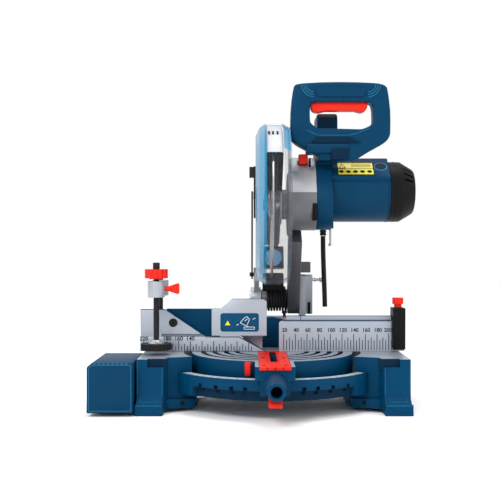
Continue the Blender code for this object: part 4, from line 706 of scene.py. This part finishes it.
# Lighter blue for painted highlights: the extension box's edges and marks, the brush cap's ring and the grip's
# ribs.
edge_highlight = even_finish("edge_highlight", 300, (0.008, 0.120, 0.230), (0.012, 0.150, 0.280), Roughness=0.4,
    Specular_IOR_Level=0.15)
box_edge_highlight = together(*drawn(
    [(-0.2905, 0.0095), (-0.2905, 0.0765), (-0.2845, 0.0812), (-0.2245, 0.0812), (-0.2245, 0.0095),
        (-0.2905, 0.0095)], 0.0009, -0.1303, -0.1298))
fitted("extension_edge_highlight", box_edge_highlight, "extension", [edge_highlight])
extension_marks = together(*[
    squared_stock(-0.284 + i * 0.0072, -0.2795 + i * 0.0072, -0.1306, -0.1298, 0.0826, 0.0842)
    for i in range(8)])
fitted("extension_marks", extension_marks, "extension", [edge_highlight])
extension_rods = together(round_stock("X", (-0.055, 0.020), 0.0040, -0.282, -0.110, 32, ease=0.0004),
    round_stock("X", (-0.015, 0.020), 0.0040, -0.282, -0.110, 32, ease=0.0004),
    round_stock("Y", (-0.276, 0.020), 0.0036, -0.055, -0.015, 24))
fitted("extension_rod_detailed", extension_rods, "extension", [zinc_plate], ["extension_rod"])


# ------------------------------------------------------------------ vise
# Hold-down on the left wing: a black steel post, an aluminium arm, and a black spindle with a red fluted knob,
# a swivel and a ribbed rubber pad.
vise_x = -0.194
screw_axis = (vise_x, -0.040)
cast_silver = Finish("cast_silver", Metallic=0.4)
cast_cloud = cast_silver.noise(40, 4)
cast_sand = cast_silver.noise(750, 2)
cast_silver.drive(Base_Color=cast_silver.mix(cast_cloud, (0.30, 0.325, 0.37), (0.44, 0.47, 0.52)),
    Roughness=0.36 + cast_sand * 0.2)
cast_silver.bump(cast_sand, 0.00012, 0.6)
post = round_stock("Z", (vise_x, 0.026), 0.0047, 0.0605, 0.214, 32, ease=0.0005)
fitted("vise_post_detailed", post, "vise", [black_oxide], ["vise_post"])
refined("vise_arm", 0.0012, "vise", [cast_silver])
refined("vise_wing_screw", 0.0007, "vise_wing_screw", [red_moulding])
thread_pitch = 0.0016
threads = []
for i in range(32):
    low = 0.1300 + i * thread_pitch
    crest = [(0.0043, low), (0.0050, low + 0.0004), (0.0050, low + 0.0008), (0.0043, low + 0.0012)]
    threads.append(turned_stock("Z", screw_axis, crest, 24))
spindle_bar = together(round_stock("Z", screw_axis, 0.0047, 0.1125, 0.2395, 32, ease=0.0005), *threads,
    round_stock("Z", screw_axis, 0.0058, 0.2300, 0.2410, 32, ease=0.0012))
fitted("vise_spindle_detailed", spindle_bar, "vise_screw", [black_oxide], ["vise_spindle"])
knob_grip = together(fluted(screw_axis, 0.0192, 0.0024, 12, 0.2150, 0.2300, 0.0010),
    round_stock("Z", screw_axis, 0.0120, 0.2136, 0.2152, 32, ease=0.0003))
fitted("vise_knob_detailed", knob_grip, "vise_screw", [red_moulding], ["vise_knob"])
swivel = turned_stock("Z", screw_axis, [(0.0002, 0.1063), (0.0135, 0.1063), (0.0135, 0.1072),
        (0.0100, 0.1082), (0.0070, 0.1100), (0.0066, 0.1122), (0.0002, 0.1122)], 48)
fitted("vise_swivel_detailed", swivel, "vise_screw", [zinc_plate], ["vise_swivel"])
pad_outline = []
for i in range(96):
    pad_reach = 0.0260 - (0.0010 if i % 4 in (2, 3) else 0.0)
    pad_outline.append((vise_x + pad_reach * math.cos(i * math.pi / 48),
        -0.040 + pad_reach * math.sin(i * math.pi / 48)))
fitted("vise_pad_detailed", slab("Z", pad_outline, 0.0960, 0.1060), "vise_screw", [lead_rubber], ["vise_pad"])


# ------------------------------------------------------------------ turntable
# Round cast table on the pivot bolt with an arm to the front.  The top is milled bright and has shallow
# concentric grooves that stay painted, drawn darker than the paint as painted shade.
turntable = from_frame("turntable_casting")
grooves = []
for groove, sweep in ((0.060, 64), (0.079, 80), (0.098, 90), (0.117, 96)):
    groove_section = [(groove - 0.0040, 0.0855), (groove + 0.0040, 0.0855), (groove + 0.0040, 0.090),
                      (groove - 0.0040, 0.090)]
    grooves += [turned_stock("Z", (0, 0), groove_section, 40, heading - sweep / 2, sweep)
                for heading in (212, 328)]
turntable = milled(turntable, together(*grooves))


def table_paint(spot, normal):
    """Silver on the milled top; the painted grooves drawn darker as painted shade."""
    if normal.z > 0.9 and abs(spot.z - table_top) < 0.0005:
        return 1
    return 2 if 0.085 < spot.z < 0.0877 else 0


fitted("turntable_casting_detailed", eased(turntable, 0.0009), "turntable",
    [casting_blue, table_silver, deep_blue_and_shade], ["turntable_casting"], table_paint)

# Red plastic insert beside the blade, held by three small screws.
refined("kerf_plate", 0.0005, "turntable", [red_moulding])
plate_screws = together(*[round_stock("Z", spot, 0.0026, 0.0879, 0.0885, 20, ease=0.0002)
    for spot in ((-0.0165, -0.180), (0.0165, -0.180), (-0.0165, -0.090), (0.0165, -0.090))])
fitted("kerf_plate_screws", plate_screws, "turntable", [black_and_shade])
lip_marks = together(*[squared_stock(x - 0.0006, x + 0.0006, -0.2027, -0.2022, 0.0838, 0.0876)
    for x in (-0.012, 0.0, 0.012)])
fitted("kerf_plate_marks", lip_marks, "turntable", [black_and_shade])
refined("angle_pointer", 0.0006, "turntable", [red_moulding])
# Lighter blue for painted highlights on rounded edges: the bevel housing's rim and the handle window's shelf.
highlight_blue = even_finish("highlight_blue", 60, (0.001, 0.062, 0.140), (0.002, 0.076, 0.165), Roughness=0.4,
    Specular_IOR_Level=0.15)
housing_highlight_band = turned_stock("Y", (0, 0.088),
    [(0.0512, 0.0836), (0.0524, 0.0836), (0.0524, 0.0860), (0.0512, 0.0860)], 48, 0, 360)
bmesh.ops.bisect_plane(housing_highlight_band,
    geom=housing_highlight_band.verts[:] + housing_highlight_band.edges[:] + housing_highlight_band.faces[:], plane_co=(0, 0, 0.0885),
    plane_no=(0, 0, 1), clear_inner=True)
fitted("bevel_housing_highlight", housing_highlight_band, "turntable", [highlight_blue])


# ------------------------------------------------------------------ mitre lock
# Hollow tapered grip whose threaded rod clamps the table, and the red lever under it that lifts the detent.
grip_outline = [(0.0085, -0.2700), (0.0122, -0.2700), (0.0131, -0.2690), (0.0179, -0.2055), (0.0172, -0.2037),
    (0.0060, -0.2035), (0.0043, -0.2030), (0.0043, -0.1845), (0.0002, -0.1845), (0.0002, -0.2150),
    (0.0085, -0.2150)]
fitted("mitre_lock_knob_detailed", turned_stock("Y", (0, 0.061), grip_outline, 72), "mitre_lock_knob",
    [moulded_blue], ["mitre_lock_knob"])
refined("detent_lever", 0.0010, "detent_lever", [red_moulding])


# ------------------------------------------------------------------ tilting bracket
# Cast bracket on the bevel bolt: two ears hold the steel shaft that the head swings on, with the black
# return spring coiled between them.
refined("tilt_bracket", 0.0010, "tilt_bracket", [cast_silver])
# The ear's slot is a black block: painted shade in the slot.
fitted("ear_slot", squared_stock(0.0695, 0.0745, 0.1274, 0.1290, 0.1430, 0.1650, 0.0004), "tilt_bracket",
    [black_and_shade])
chop_axis = (0.140, 0.171)
pivot_shaft = round_stock("X", chop_axis, 0.0080, -0.0395, 0.0695, 40, ease=0.0006)
fitted("chop_shaft_detailed", pivot_shaft, "tilt_bracket", [zinc_plate], ["chop_pivot_shaft"])
left_boss = turned_stock("X", chop_axis,
    [(0.0084, -0.0385), (0.0150, -0.0385), (0.0165, -0.0375), (0.0165, -0.0360), (0.0084, -0.0360)], 48)
fitted("shaft_washer", left_boss, "tilt_bracket", [zinc_plate])

coil = bmesh.new()
coil_turns, wire = 7, 0.0023
coil_ring = bmesh.ops.create_circle(coil, cap_ends=False, radius=wire * 0.98, segments=12)["verts"]
bmesh.ops.rotate(coil, verts=coil_ring, cent=(0, 0, 0), matrix=Matrix.Rotation(math.pi / 2, 3, "X"))
bmesh.ops.translate(coil, verts=coil_ring, vec=(0.0214, 0, 0))
coil_rise = (0.029 + 0.008) / (coil_turns * 28)
bmesh.ops.spin(coil, geom=coil.verts[:] + coil.edges[:], cent=(0, 0, 0), axis=(0, 0, 1),
    dvec=(0, 0, coil_rise), angle=2 * math.pi * coil_turns, steps=coil_turns * 28)
bmesh.ops.holes_fill(coil, edges=[edge for edge in coil.edges if edge.is_boundary], sides=0)
bmesh.ops.rotate(coil, verts=coil.verts, cent=(0, 0, 0), matrix=Matrix.Rotation(-math.pi / 2, 3, "Z"))
bmesh.ops.transform(coil, verts=coil.verts,
    matrix=Matrix.Translation((-0.008, *chop_axis)) @ Matrix(((0, 0, 1, 0), (1, 0, 0, 0), (0, 1, 0, 0),
        (0, 0, 0, 1))))
bmesh.ops.recalc_face_normals(coil, faces=coil.faces)
fitted("return_spring_detailed", coil, "tilt_bracket", [black_oxide], ["return_spring"],
    smooth=60)

stop_screw = together(round_stock("Z", (0.026, 0.124), 0.0028, 0.1265, 0.1460, 24),
    round_stock("Z", (0.026, 0.124), 0.0055, 0.1445, 0.1495, 6, ease=0.0004))
fitted("depth_stop_screw_detailed", stop_screw, "tilt_bracket", [black_oxide], ["depth_stop_screw"])
bevel_bolt = together(round_stock("Y", (0, 0.088), 0.0080, 0.0905, 0.1720, 40, ease=0.0005),
    round_stock("Y", (0, 0.088), 0.0135, 0.1603, 0.1660, 6, ease=0.0006))
fitted("bevel_bolt_detailed", bevel_bolt, "tilt_bracket", [zinc_plate], ["bevel_pivot_bolt"])
refined("bevel_lock_lever", 0.0012, "bevel_lock_lever", [black_moulding])
pin_outline = [(0.0002, 0.0545), (0.0030, 0.0545), (0.0035, 0.0551), (0.0035, 0.0820), (0.0050, 0.0820),
    (0.0050, 0.0850), (0.0035, 0.0850), (0.0035, 0.0925), (0.0054, 0.0925), (0.0060, 0.0932),
    (0.0060, 0.1032), (0.0052, 0.1040), (0.0002, 0.1040)]
fitted("lock_pin_detailed", turned_stock("X", (0.140, 0.207), pin_outline, 36), "lock_pin", [zinc_plate],
    ["lock_pin"])
refined("guard_link", 0.0006, "guard_link", [black_oxide])


# ------------------------------------------------------------------ arm and gear housing
# The arm is a dark casting; the gear housing bolted to it is bare aluminium, drawn lighter above a ledge at
# mid height as painted light and darker below as painted shade.
dark_metal = Finish("dark_metal", Metallic=0.3)
dark_cloud = dark_metal.noise(60, 4)
dark_metal.drive(Base_Color=dark_metal.mix(dark_cloud, (0.070, 0.074, 0.082), (0.120, 0.125, 0.135)),
    Roughness=0.38 + dark_cloud * 0.2)
dark_metal.bump(dark_metal.noise(800, 2), 0.00012, 0.5)
refined("saw_arm", 0.0014, "head", [dark_metal])

gearbox = Finish("gearbox_metal", Metallic=0.35)
ledge_height = 0.3600
# Painted light and shade: the housing's colour is lighter above the ledge height and darker below it.
lit_upper_half = gearbox.place(2) > ledge_height
gear_cloud = gearbox.noise(50, 4)
lit_tone = gearbox.mix(gear_cloud, (0.36, 0.37, 0.40), (0.48, 0.49, 0.52))
shaded_tone = gearbox.mix(gear_cloud, (0.10, 0.105, 0.12), (0.16, 0.165, 0.18))
gearbox.drive(Base_Color=gearbox.mix(lit_upper_half, shaded_tone, lit_tone), Roughness=0.36 + gear_cloud * 0.2)
gearbox.bump(gearbox.noise(750, 2), 0.00012, 0.6)
refined("gear_housing", 0.0016, "head", [gearbox], segments=3)
housing_details = squared_stock(0.0335, 0.0745, -0.0066, 0.004, 0.3588, 0.3614, 0.0008)
flange_latch = together(squared_stock(0.0680, 0.0758, -0.0250, -0.0080, 0.3120, 0.3410, 0.0012),
    squared_stock(0.0630, 0.0665, -0.0035, 0.006, 0.4040, 0.4190, 0.0006))
fitted("flange_latch", flange_latch, "head", [black_and_shade])
fitted("gear_housing_ledge", housing_details, "head", [gearbox])
button_shape = together(squared_stock(0.0462, 0.0618, 0.004, 0.0228, 0.4102, 0.4268, 0.0014, 3),
    round_stock("Y", (0.054, 0.4165), 0.0030, 0.022, 0.0360, 24))
fitted("spindle_lock_button_detailed", button_shape, "spindle_lock_button", [red_moulding],
    ["spindle_lock_button"])


# ------------------------------------------------------------------ upper guard and chute
# Pressed cover fixed over the blade's upper half, painted light grey, with a moulded chute and hose outlet
# behind it.  Inside it is drawn black as painted shade.
arbor = (0.0213, 0.341)
cover_grey = Finish("cover_grey", Roughness=0.35)
cover_cloud = cover_grey.noise(30, 3)
cover_grey.drive(Base_Color=cover_grey.mix(cover_cloud, (0.42, 0.44, 0.47), (0.56, 0.58, 0.61)),
    Roughness=0.32 + cover_cloud * 0.12)
cover_section = [(0.0285, -0.0120), (0.1300, -0.0120), (0.1335, -0.0110), (0.1350, -0.0080), (0.1350, 0.0130),
    (0.1335, 0.0160), (0.1300, 0.0170), (0.0285, 0.0170), (0.0285, 0.0145), (0.1300, 0.0145),
    (0.1325, 0.0125), (0.1325, -0.0075), (0.1300, -0.0095), (0.0285, -0.0095)]
cover = together(turned_stock("X", arbor, cover_section, 60, -31, 175),
    turned_stock("X", arbor, [(0.0265, 0.0142), (0.0340, 0.0142), (0.0340, 0.0167), (0.0265, 0.0167)], 40))


# Painted shade: faces turned inward on the cover get the black finish.
def inside_cover(spot, normal):
    out = Vector((0, spot.y - arbor[0], spot.z - arbor[1]))
    facing_in = normal.dot(out) < 0 if abs(normal.x) < 0.7 else (normal.x > 0) == (spot.x < 0.0025)
    return 1 if out.length > 0.036 and facing_in else 0


fitted("upper_guard_detailed", cover, "head", [cover_grey, black_and_shade], ["upper_guard"],
    inside_cover)
# The vents are black strips on the cover: painted shade in the vent openings.
vents = together(*[
    turned_stock("X", arbor, [(0.1345, low), (0.1354, low), (0.1354, low + 0.0036), (0.1345, low + 0.0036)],
        8, 118.5, 5.5) for low in (-0.0078, -0.0014, 0.0062)])
fitted("upper_guard_vents", vents, "head", [black_and_shade])

# Dark flaps on both sides of the blade stop chips where the cover ends.
flaps = together(*[
    turned_stock("X", arbor, [(0.1185, low), (0.1205, low), (0.1205, high), (0.1185, high)], 24, 139.5, 32)
    for low, high in ((-0.0108, -0.0024), (0.0024, 0.0082))])
fitted("chip_flaps", flaps, "head", [black_and_shade])

# Painted light: the dust port's mouth glows in its own blue through an emission.
port_glow = Finish("port_glow", Roughness=0.4, Emission_Strength=0.4)
port_glow_tone = port_glow.mix(port_glow.noise(40), (0.10, 0.40, 0.70), (0.14, 0.46, 0.78))
port_glow.drive(Base_Color=port_glow_tone, Emission_Color=port_glow_tone)
refined("dust_port", 0.0006, "head", [black_moulding])
port_mouth = round_stock("Y", (0.0062, 0.2475), 0.0150, 0.1340, 0.1350, 48)
fitted("dust_port_sleeve", port_mouth, "head", [port_glow])
chute_shroud = squared_stock(-0.0150, 0.0240, 0.1020, 0.1120, 0.1860, 0.2200, 0.0035, 4)
fitted("chute_shroud", chute_shroud, "head", [black_moulding])
fitted("laser_module_detailed", squared_stock(-0.0035, 0.0155, 0.1500, 0.168, 0.2657, 0.2815, 0.0012, 3),
    "head", [black_moulding], ["laser_module"])


# ------------------------------------------------------------------ motor
# Moulded blue casing on a flange, with a raised panel for the rating plate, brush caps and a black vented cap.
motor = (0.056, 0.365)
refined("motor_housing", 0.0012, "head", [moulded_blue])
barrel = turned_stock("X", motor,
    [(0.0500, 0.1030), (0.0530, 0.1030), (0.0530, 0.2035), (0.0522, 0.2049), (0.0500, 0.2049)], 96)
fitted("motor_barrel_skin", barrel, "head", [moulded_blue])
panel_out = Vector((0, -0.643, 0.766))
panel_up = Vector((0, 0.766, 0.643))


def on_panel(stock):
    """Turns a flat shape (x, height on the panel, thickness) on to the motor's raised panel."""
    bmesh.ops.transform(stock, verts=stock.verts, matrix=Matrix(
            ((1, 0, 0, 0), (0, panel_up.y, panel_out.y, motor[0]), (0, panel_up.z, panel_out.z, motor[1]),
                (0, 0, 0, 1))))
    return stock


panel = on_panel(squared_stock(0.1030, 0.2042, -0.0300, 0.0280, 0.0380, 0.0540, 0.0022, 3))
fitted("motor_panel", panel, "head", [moulded_blue])
label_yellow = on_panel(squared_stock(0.1140, 0.1765, -0.0235, 0.0130, 0.0538, 0.0542))
fitted("rating_plate", label_yellow, "head", [print_yellow])
label_print = [squared_stock(0.1140, 0.1760, low, low + 0.0010, 0.0541, 0.0544)
    for low in (-0.0235, 0.0120, -0.0062)]
label_print += [squared_stock(x, x + 0.0010, -0.0235, 0.0130, 0.0541, 0.0544) for x in (0.1140, 0.1755)]
label_print += [squared_stock(0.1380, 0.1720, low, low + 0.0008, 0.0541, 0.0544)
    for low in (0.0080, 0.0040, 0.0000)]
label_print += [round_stock("Z", (0.1200 + i * 0.0122, -0.0142), 0.0040, 0.0541, 0.0544, 24)
    for i in range(5)]
label_print.append(slab("Z", [(0.1160, -0.0042), (0.1290, -0.0042), (0.1225, 0.0098)], 0.0541, 0.0544))
fitted("rating_plate_print", on_panel(together(*label_print)), "head", [black_and_shade])
fitted("rating_plate_triangle",
    on_panel(slab("Z", [(0.1182, -0.0030), (0.1268, -0.0030), (0.1225, 0.0068)], 0.0544, 0.0546)), "head",
    [print_yellow])
cap_disc = together(round_stock("Z", (0.189, 0.0), 0.0098, 0.0440, 0.0544, 48, ease=0.0008),
    squared_stock(0.1830, 0.1950, -0.0010, 0.0010, 0.0543, 0.0545))
fitted("brush_cap_detailed", on_panel(cap_disc), "head", [deep_blue_and_shade], ["brush_cap"])
# The ring round the brush cap is drawn lighter: painted highlight.
cap_ring = turned_stock("Z", (0.189, 0.0),
    [(0.0098, 0.0530), (0.0120, 0.0530), (0.0120, 0.0545), (0.0112, 0.0550), (0.0098, 0.0550)], 48)
fitted("brush_cap_ring", on_panel(cap_ring), "head", [edge_highlight])
motor_ribs = together(*[
    turned_stock("X", motor, [(0.0525, x), (0.0535, x), (0.0535, x + 0.0018), (0.0525, x + 0.0018)], 64, 150,
        200) for x in (0.1045, 0.2020)])
fitted("motor_bands", motor_ribs, "head", [moulded_blue])

# The handles' feet are screwed on to blocks at the front of the saddle.
mount_blocks = together(squared_stock(0.0580, 0.1290, -0.0215, 0.0175, 0.4260, 0.4415, 0.0020, 3),
    squared_stock(0.0790, 0.1290, -0.0160, 0.0200, 0.4145, 0.4270, 0.0020, 3))
fitted("handle_mount_blocks", mount_blocks, "head", [moulded_blue])
fitted("handle_mount_cover", squared_stock(0.0995, 0.1285, -0.0235, 0.0100, 0.4140, 0.4350, 0.0022, 3),
    "head", [deep_blue_and_shade])

cap_section = [(0.0112, 0.2273), (0.0475, 0.2173), (0.0475, 0.2053), (0.0530, 0.2053), (0.0530, 0.2240),
    (0.0525, 0.2265), (0.0395, 0.2480), (0.0370, 0.2500), (0.0030, 0.2500), (0.0030, 0.2375),
    (0.0112, 0.2375)]
end_cap = turned_stock("X", motor, cap_section, 72)
louvres = []
for i in range(5):
    louvre = squared_stock(0.2290, 0.2460, -0.0020, 0.0020, 0.0380, 0.0560)
    bmesh.ops.rotate(louvre, verts=louvre.verts, cent=(0, 0, 0),
        matrix=Matrix.Rotation(math.radians(12 + i * 14), 3, "X"))
    bmesh.ops.translate(louvre, verts=louvre.verts, vec=(0, motor[0], motor[1]))
    louvres.append(louvre)
end_cap = milled(end_cap, together(*louvres))
fitted("motor_end_cap_detailed", end_cap, "head", [black_moulding], ["motor_end_cap"])
cap_band = turned_stock("X", motor, [(0.0526, 0.2140), (0.0534, 0.2143), (0.0534, 0.2160), (0.0526, 0.2163)],
    72)
fitted("motor_end_cap_band", cap_band, "head", [black_moulding])
hex_bar = together(round_stock("Z", (0.1048, 0.049), 0.0024, 0.2700, 0.3100, 6),
    squared_stock(0.1024, 0.1072, 0.049, 0.068, 0.2690, 0.2738, 0.0010, 3))
fitted("hex_key_detailed", hex_bar, "head", [zinc_plate], ["hex_key"])


# ------------------------------------------------------------------ handles
# Two moulded half shells screwed together make the D-shaped grip with the red trigger; the carrying handle
# behind it has a black soft cap.
grip_outline_xz = ((0.037, 0.540), (0.050, 0.545), (0.082, 0.547), (0.114, 0.5475), (0.147, 0.547),
    (0.181, 0.545), (0.195, 0.538), (0.2005, 0.500), (0.2005, 0.459), (0.193, 0.446), (0.165, 0.430),
    (0.137, 0.414), (0.098, 0.414), (0.060, 0.432), (0.033, 0.450), (0.032, 0.500),)
grip_window_xz = ((0.066, 0.512), (0.076, 0.5135), (0.092, 0.5135), (0.114, 0.5135), (0.138, 0.5135),
    (0.160, 0.5135), (0.169, 0.511), (0.1715, 0.500), (0.1715, 0.479), (0.164, 0.472), (0.152, 0.4675),
    (0.137, 0.4675), (0.098, 0.4685), (0.077, 0.4695), (0.065, 0.479), (0.064, 0.500),)


def rounded_loop(points, pieces=5):
    """Closed smooth curve through corner points."""
    loop = []
    count = len(points)
    for i in range(count):
        a, b, c, d = (Vector(points[(i + k) % count]) for k in (-1, 0, 1, 2))
        for j in range(pieces):
            t = j / pieces
            spot = 0.5 * (2 * b + (c - a) * t + (
                2 * a - 5 * b + 4 * c - d) * t * t + (3 * b - a - 3 * c + d) * t ** 3)
            loop.append(tuple(b.lerp(c, t).lerp(spot, 0.55)))
    return loop


for shell_name, split, face in (("handle_front_shell", -0.0002, -0.0170),
        ("handle_rear_shell", 0.0002, 0.0170)):
    half = milled(slab("Y", rounded_loop(grip_outline_xz), split, face),
        slab("Y", rounded_loop(grip_window_xz), -0.03, 0.03))
    half.normal_update()
    rim = [
        edge for edge in half.edges if all(
            abs(corner.co.y - face) < 1e-6 for corner in edge.verts) and edge.calc_face_angle(0) > 1.0]
    bmesh.ops.bevel(half, geom=rim, offset=0.0045, segments=4, profile=0.5, affect="EDGES",
        clamp_overlap=True, material=-1)
    fitted(shell_name + "_detailed", half, "head", [moulded_blue], [shell_name], smooth=35)
# A lighter strip along the window's lower edge: painted highlight on the sloping shelf there.
shelf = together(*[stroke(*ends, 0.0030, -0.0180, -0.0160)
    for ends in ((0.0588, 0.4650, 0.0780, 0.4562), (0.0770, 0.4562, 0.1290, 0.4562),
        (0.1280, 0.4562, 0.1460, 0.4600), (0.1450, 0.4598, 0.1660, 0.4690))])
fitted("window_shelf_highlight", shelf, "head", [highlight_blue])
fitted("grip_foot_panel", slab("Y", [(0.0655, 0.4440), (0.1500, 0.4440), (0.1280, 0.4545), (0.0774, 0.4545)],
        -0.0195, -0.0165, 0.0018, 3), "head", [deep_blue_and_shade])
grip_face = -0.0171
screw_spots = ((0.0549, 0.5165), (0.1779, 0.5155), (0.0487, 0.4527), (0.1834, 0.4556))
shell_screws = together(*[
    turned_stock("Y", spot, [(0.0036, grip_face + 0.0004), (0.0054, grip_face - 0.0002),
            (0.0058, grip_face + 0.0004), (0.0058, grip_face + 0.0012), (0.0036, grip_face + 0.0012)], 32)
    for spot in screw_spots])
fitted("shell_screw_rims", shell_screws, "head", [moulded_blue])
screw_heads = together(*[
    round_stock("Y", spot, 0.0035, grip_face + 0.0040, grip_face + 0.0060, 24, ease=0.0005)
    for spot in screw_spots])
fitted("shell_screw_heads", screw_heads, "head", [black_oxide])


def curved_rib(centre, radius, start, end, width, front, back):
    """Bowed rib on an upright face, part of a ring about (x, z)."""
    return turned_stock("Y", centre,
        [(radius, front), (radius + width, front), (radius + width, back), (radius, back)], 20, start,
        end - start)


# The ribs are drawn lighter than the shell: painted highlight on real ribs.
grip_ribs = []
for radius in (0.0140, 0.0180, 0.0220):
    for corner, start in (((0.0720, 0.5440), 185), ((0.1610, 0.5440), 95)):
        grip_ribs.append(curved_rib(corner, radius, start, start + 80, 0.0012, grip_face - 0.0005,
            grip_face + 0.0009))
fitted("grip_ribs", together(*grip_ribs), "head", [edge_highlight])
grip_swell = slab("Y", [(0.0790, 0.5220), (0.1540, 0.5220), (0.1600, 0.5310), (0.1560, 0.5385),
        (0.0770, 0.5385), (0.0730, 0.5310)], -0.0195, -0.0160, 0.0030, 4)
fitted("grip_swell", grip_swell, "head", [moulded_blue])
trigger_bar = together(slab("Y",
    [(0.0660, 0.5128), (0.0660, 0.5030), (0.0700, 0.4980), (0.0780, 0.4965), (0.0900, 0.4995),
        (0.1400, 0.4995), (0.1520, 0.4965), (0.1580, 0.4985), (0.1625, 0.5050), (0.1625, 0.5128)], -0.0095,
    0.0095, 0.0016, 3), squared_stock(0.070, 0.158, -0.0085, 0.0085, 0.5120, 0.5180, 0.0006))
fitted("trigger_detailed", trigger_bar, "trigger", [red_moulding], ["trigger"])
fitted("switch_detailed", squared_stock(0.095, 0.140, -0.0090, 0.0090, 0.5245, 0.5400, 0.0008), "head",
    [black_moulding], ["switch"])


def soft_cap(spot, normal):
    """Black rubber on the top of the carrying handle."""
    return 1 if spot.z > 0.4925 else 0


refined("carry_handle", 0.0040, "head", [moulded_blue, black_moulding], soft_cap, 4)


# ------------------------------------------------------------------ blade and its drive
# Sixty-tooth blade between two flanges on the spindle, turned by a gear pair from the motor's shaft.
blade_steel = Finish("blade_steel", Metallic=0.9)
rings = blade_steel.noise(30, 4, (1, 9, 9))
blade_steel.drive(Base_Color=blade_steel.mix(rings, (0.45, 0.46, 0.48), (0.68, 0.69, 0.70)),
    Roughness=0.22 + rings * 0.2)
refined("saw_blade", 0, "blade", [blade_steel])
flange_in = turned_stock("X", arbor, [(0.0078, 0.0015), (0.0240, 0.0015), (0.0240, 0.0040), (0.0130, 0.0070),
        (0.0130, 0.0085), (0.0078, 0.0085)], 48)
flange_out = turned_stock("X", arbor, [(0.0078, -0.0083), (0.0130, -0.0083), (0.0130, -0.0060),
        (0.0220, -0.0040), (0.0220, -0.0015), (0.0078, -0.0015)], 48)
fitted("inner_flange_detailed", flange_in, "blade", [zinc_plate], ["inner_flange"])
fitted("outer_flange_detailed", flange_out, "blade", [zinc_plate], ["outer_flange"])
arbor_head = together(round_stock("X", arbor, 0.0105, -0.0147, -0.0089, 6, ease=0.0005),
    round_stock("X", arbor, 0.0040, -0.0100, 0.0080, 24))
fitted("arbor_bolt_detailed", arbor_head, "blade", [zinc_plate], ["arbor_bolt"])
refined("spindle", 0, "blade", [zinc_plate])
refined("spindle_gear", 0, "blade", [zinc_plate])
refined("armature", 0, "armature", [zinc_plate])
refined("cooling_fan", 0, "armature", [black_moulding])
copper = Finish("copper_winding", Metallic=0.7)
windings = copper.noise(80, 3, (1, 6, 6))
copper.drive(Base_Color=copper.mix(windings, (0.30, 0.10, 0.04), (0.52, 0.20, 0.08)),
    Roughness=0.35 + windings * 0.2)
refined("stator", 0, "head", [copper])
for bearing_name, centre, bore, outer, start, end in (
        ("spindle_bearing", arbor, 0.0078, 0.0160, 0.0200, 0.0290),
        ("armature_bearing", motor, 0.0053, 0.0130, 0.0810, 0.0890)):
    sleeve = turned_stock("X", centre, [(bore, start), (outer, start), (outer, end), (bore, end)], 40)
    fitted(bearing_name + "_detailed", sleeve, "head", [zinc_plate], [bearing_name])


# ------------------------------------------------------------------ lower guard
# Clear blue-tinted moulding that swings back about the spindle as the head comes down: closed on the left,
# ring-shaped on the right, with a black steel plate over its hub.
tinted = Finish("tinted_clear", IOR=1.3, Specular_IOR_Level=0.6)
tint_wave = tinted.noise(14, 3)
tinted.drive(Base_Color=tinted.mix(tint_wave, (0.006, 0.17, 0.33), (0.012, 0.26, 0.46)),
    Roughness=0.12 + tint_wave * 0.10, Alpha=0.50 + tint_wave * 0.16)
rim_clear = Finish("rim_clear", IOR=1.3, Specular_IOR_Level=0.3)
rim_wave = rim_clear.noise(22, 3, (1, 1, 7))
rim_clear.drive(Base_Color=rim_clear.mix(rim_wave, (0.14, 0.16, 0.18), (0.26, 0.29, 0.32)),
    Roughness=0.12 + rim_wave * 0.12, Alpha=0.02 + rim_wave * 0.05)
# Greyer, less clear finish for the rim's lower part and its right side.
rim_grey = Finish("rim_grey", IOR=1.3, Specular_IOR_Level=0.2)
grey_wave = rim_grey.noise(18, 3, (1, 1, 8))
rim_grey.drive(Base_Color=rim_grey.mix(grey_wave, (0.085, 0.095, 0.110), (0.20, 0.215, 0.24)),
    Roughness=0.2 + grey_wave * 0.2, Alpha=0.17 + grey_wave * 0.12)
guard_section = [(0.0170, -0.0280), (0.1180, -0.0280), (0.1320, -0.0220), (0.1400, -0.0110), (0.1400, 0.0180),
    (0.1325, 0.0305), (0.0570, 0.0305), (0.0570, 0.0285), (0.1315, 0.0285), (0.1380, 0.0172),
    (0.1380, -0.0102), (0.1305, -0.0204), (0.1172, -0.0260), (0.0170, -0.0260)]
guard = together(turned_stock("X", arbor, guard_section, 90, 85, 200), turned_stock("X", arbor,
        [(0.0160, -0.0277), (0.0300, -0.0277), (0.0300, -0.0257), (0.0160, -0.0257)], 40))


def guard_tint(spot, normal):
    out = math.hypot(spot.y - arbor[0], spot.z - arbor[1])
    if out > 0.1330 and -0.0108 < spot.x < 0.0178:
        return 1 if spot.z > 0.3560 else 2
    return 2 if spot.x > 0.0175 and spot.z < 0.4250 else 0


fitted("lower_guard_detailed", guard, "lower_guard", [tinted, rim_clear, rim_grey], ["lower_guard"],
    guard_tint, smooth=25)
refined("guard_hub_plate", 0.0008, "lower_guard", [black_oxide])
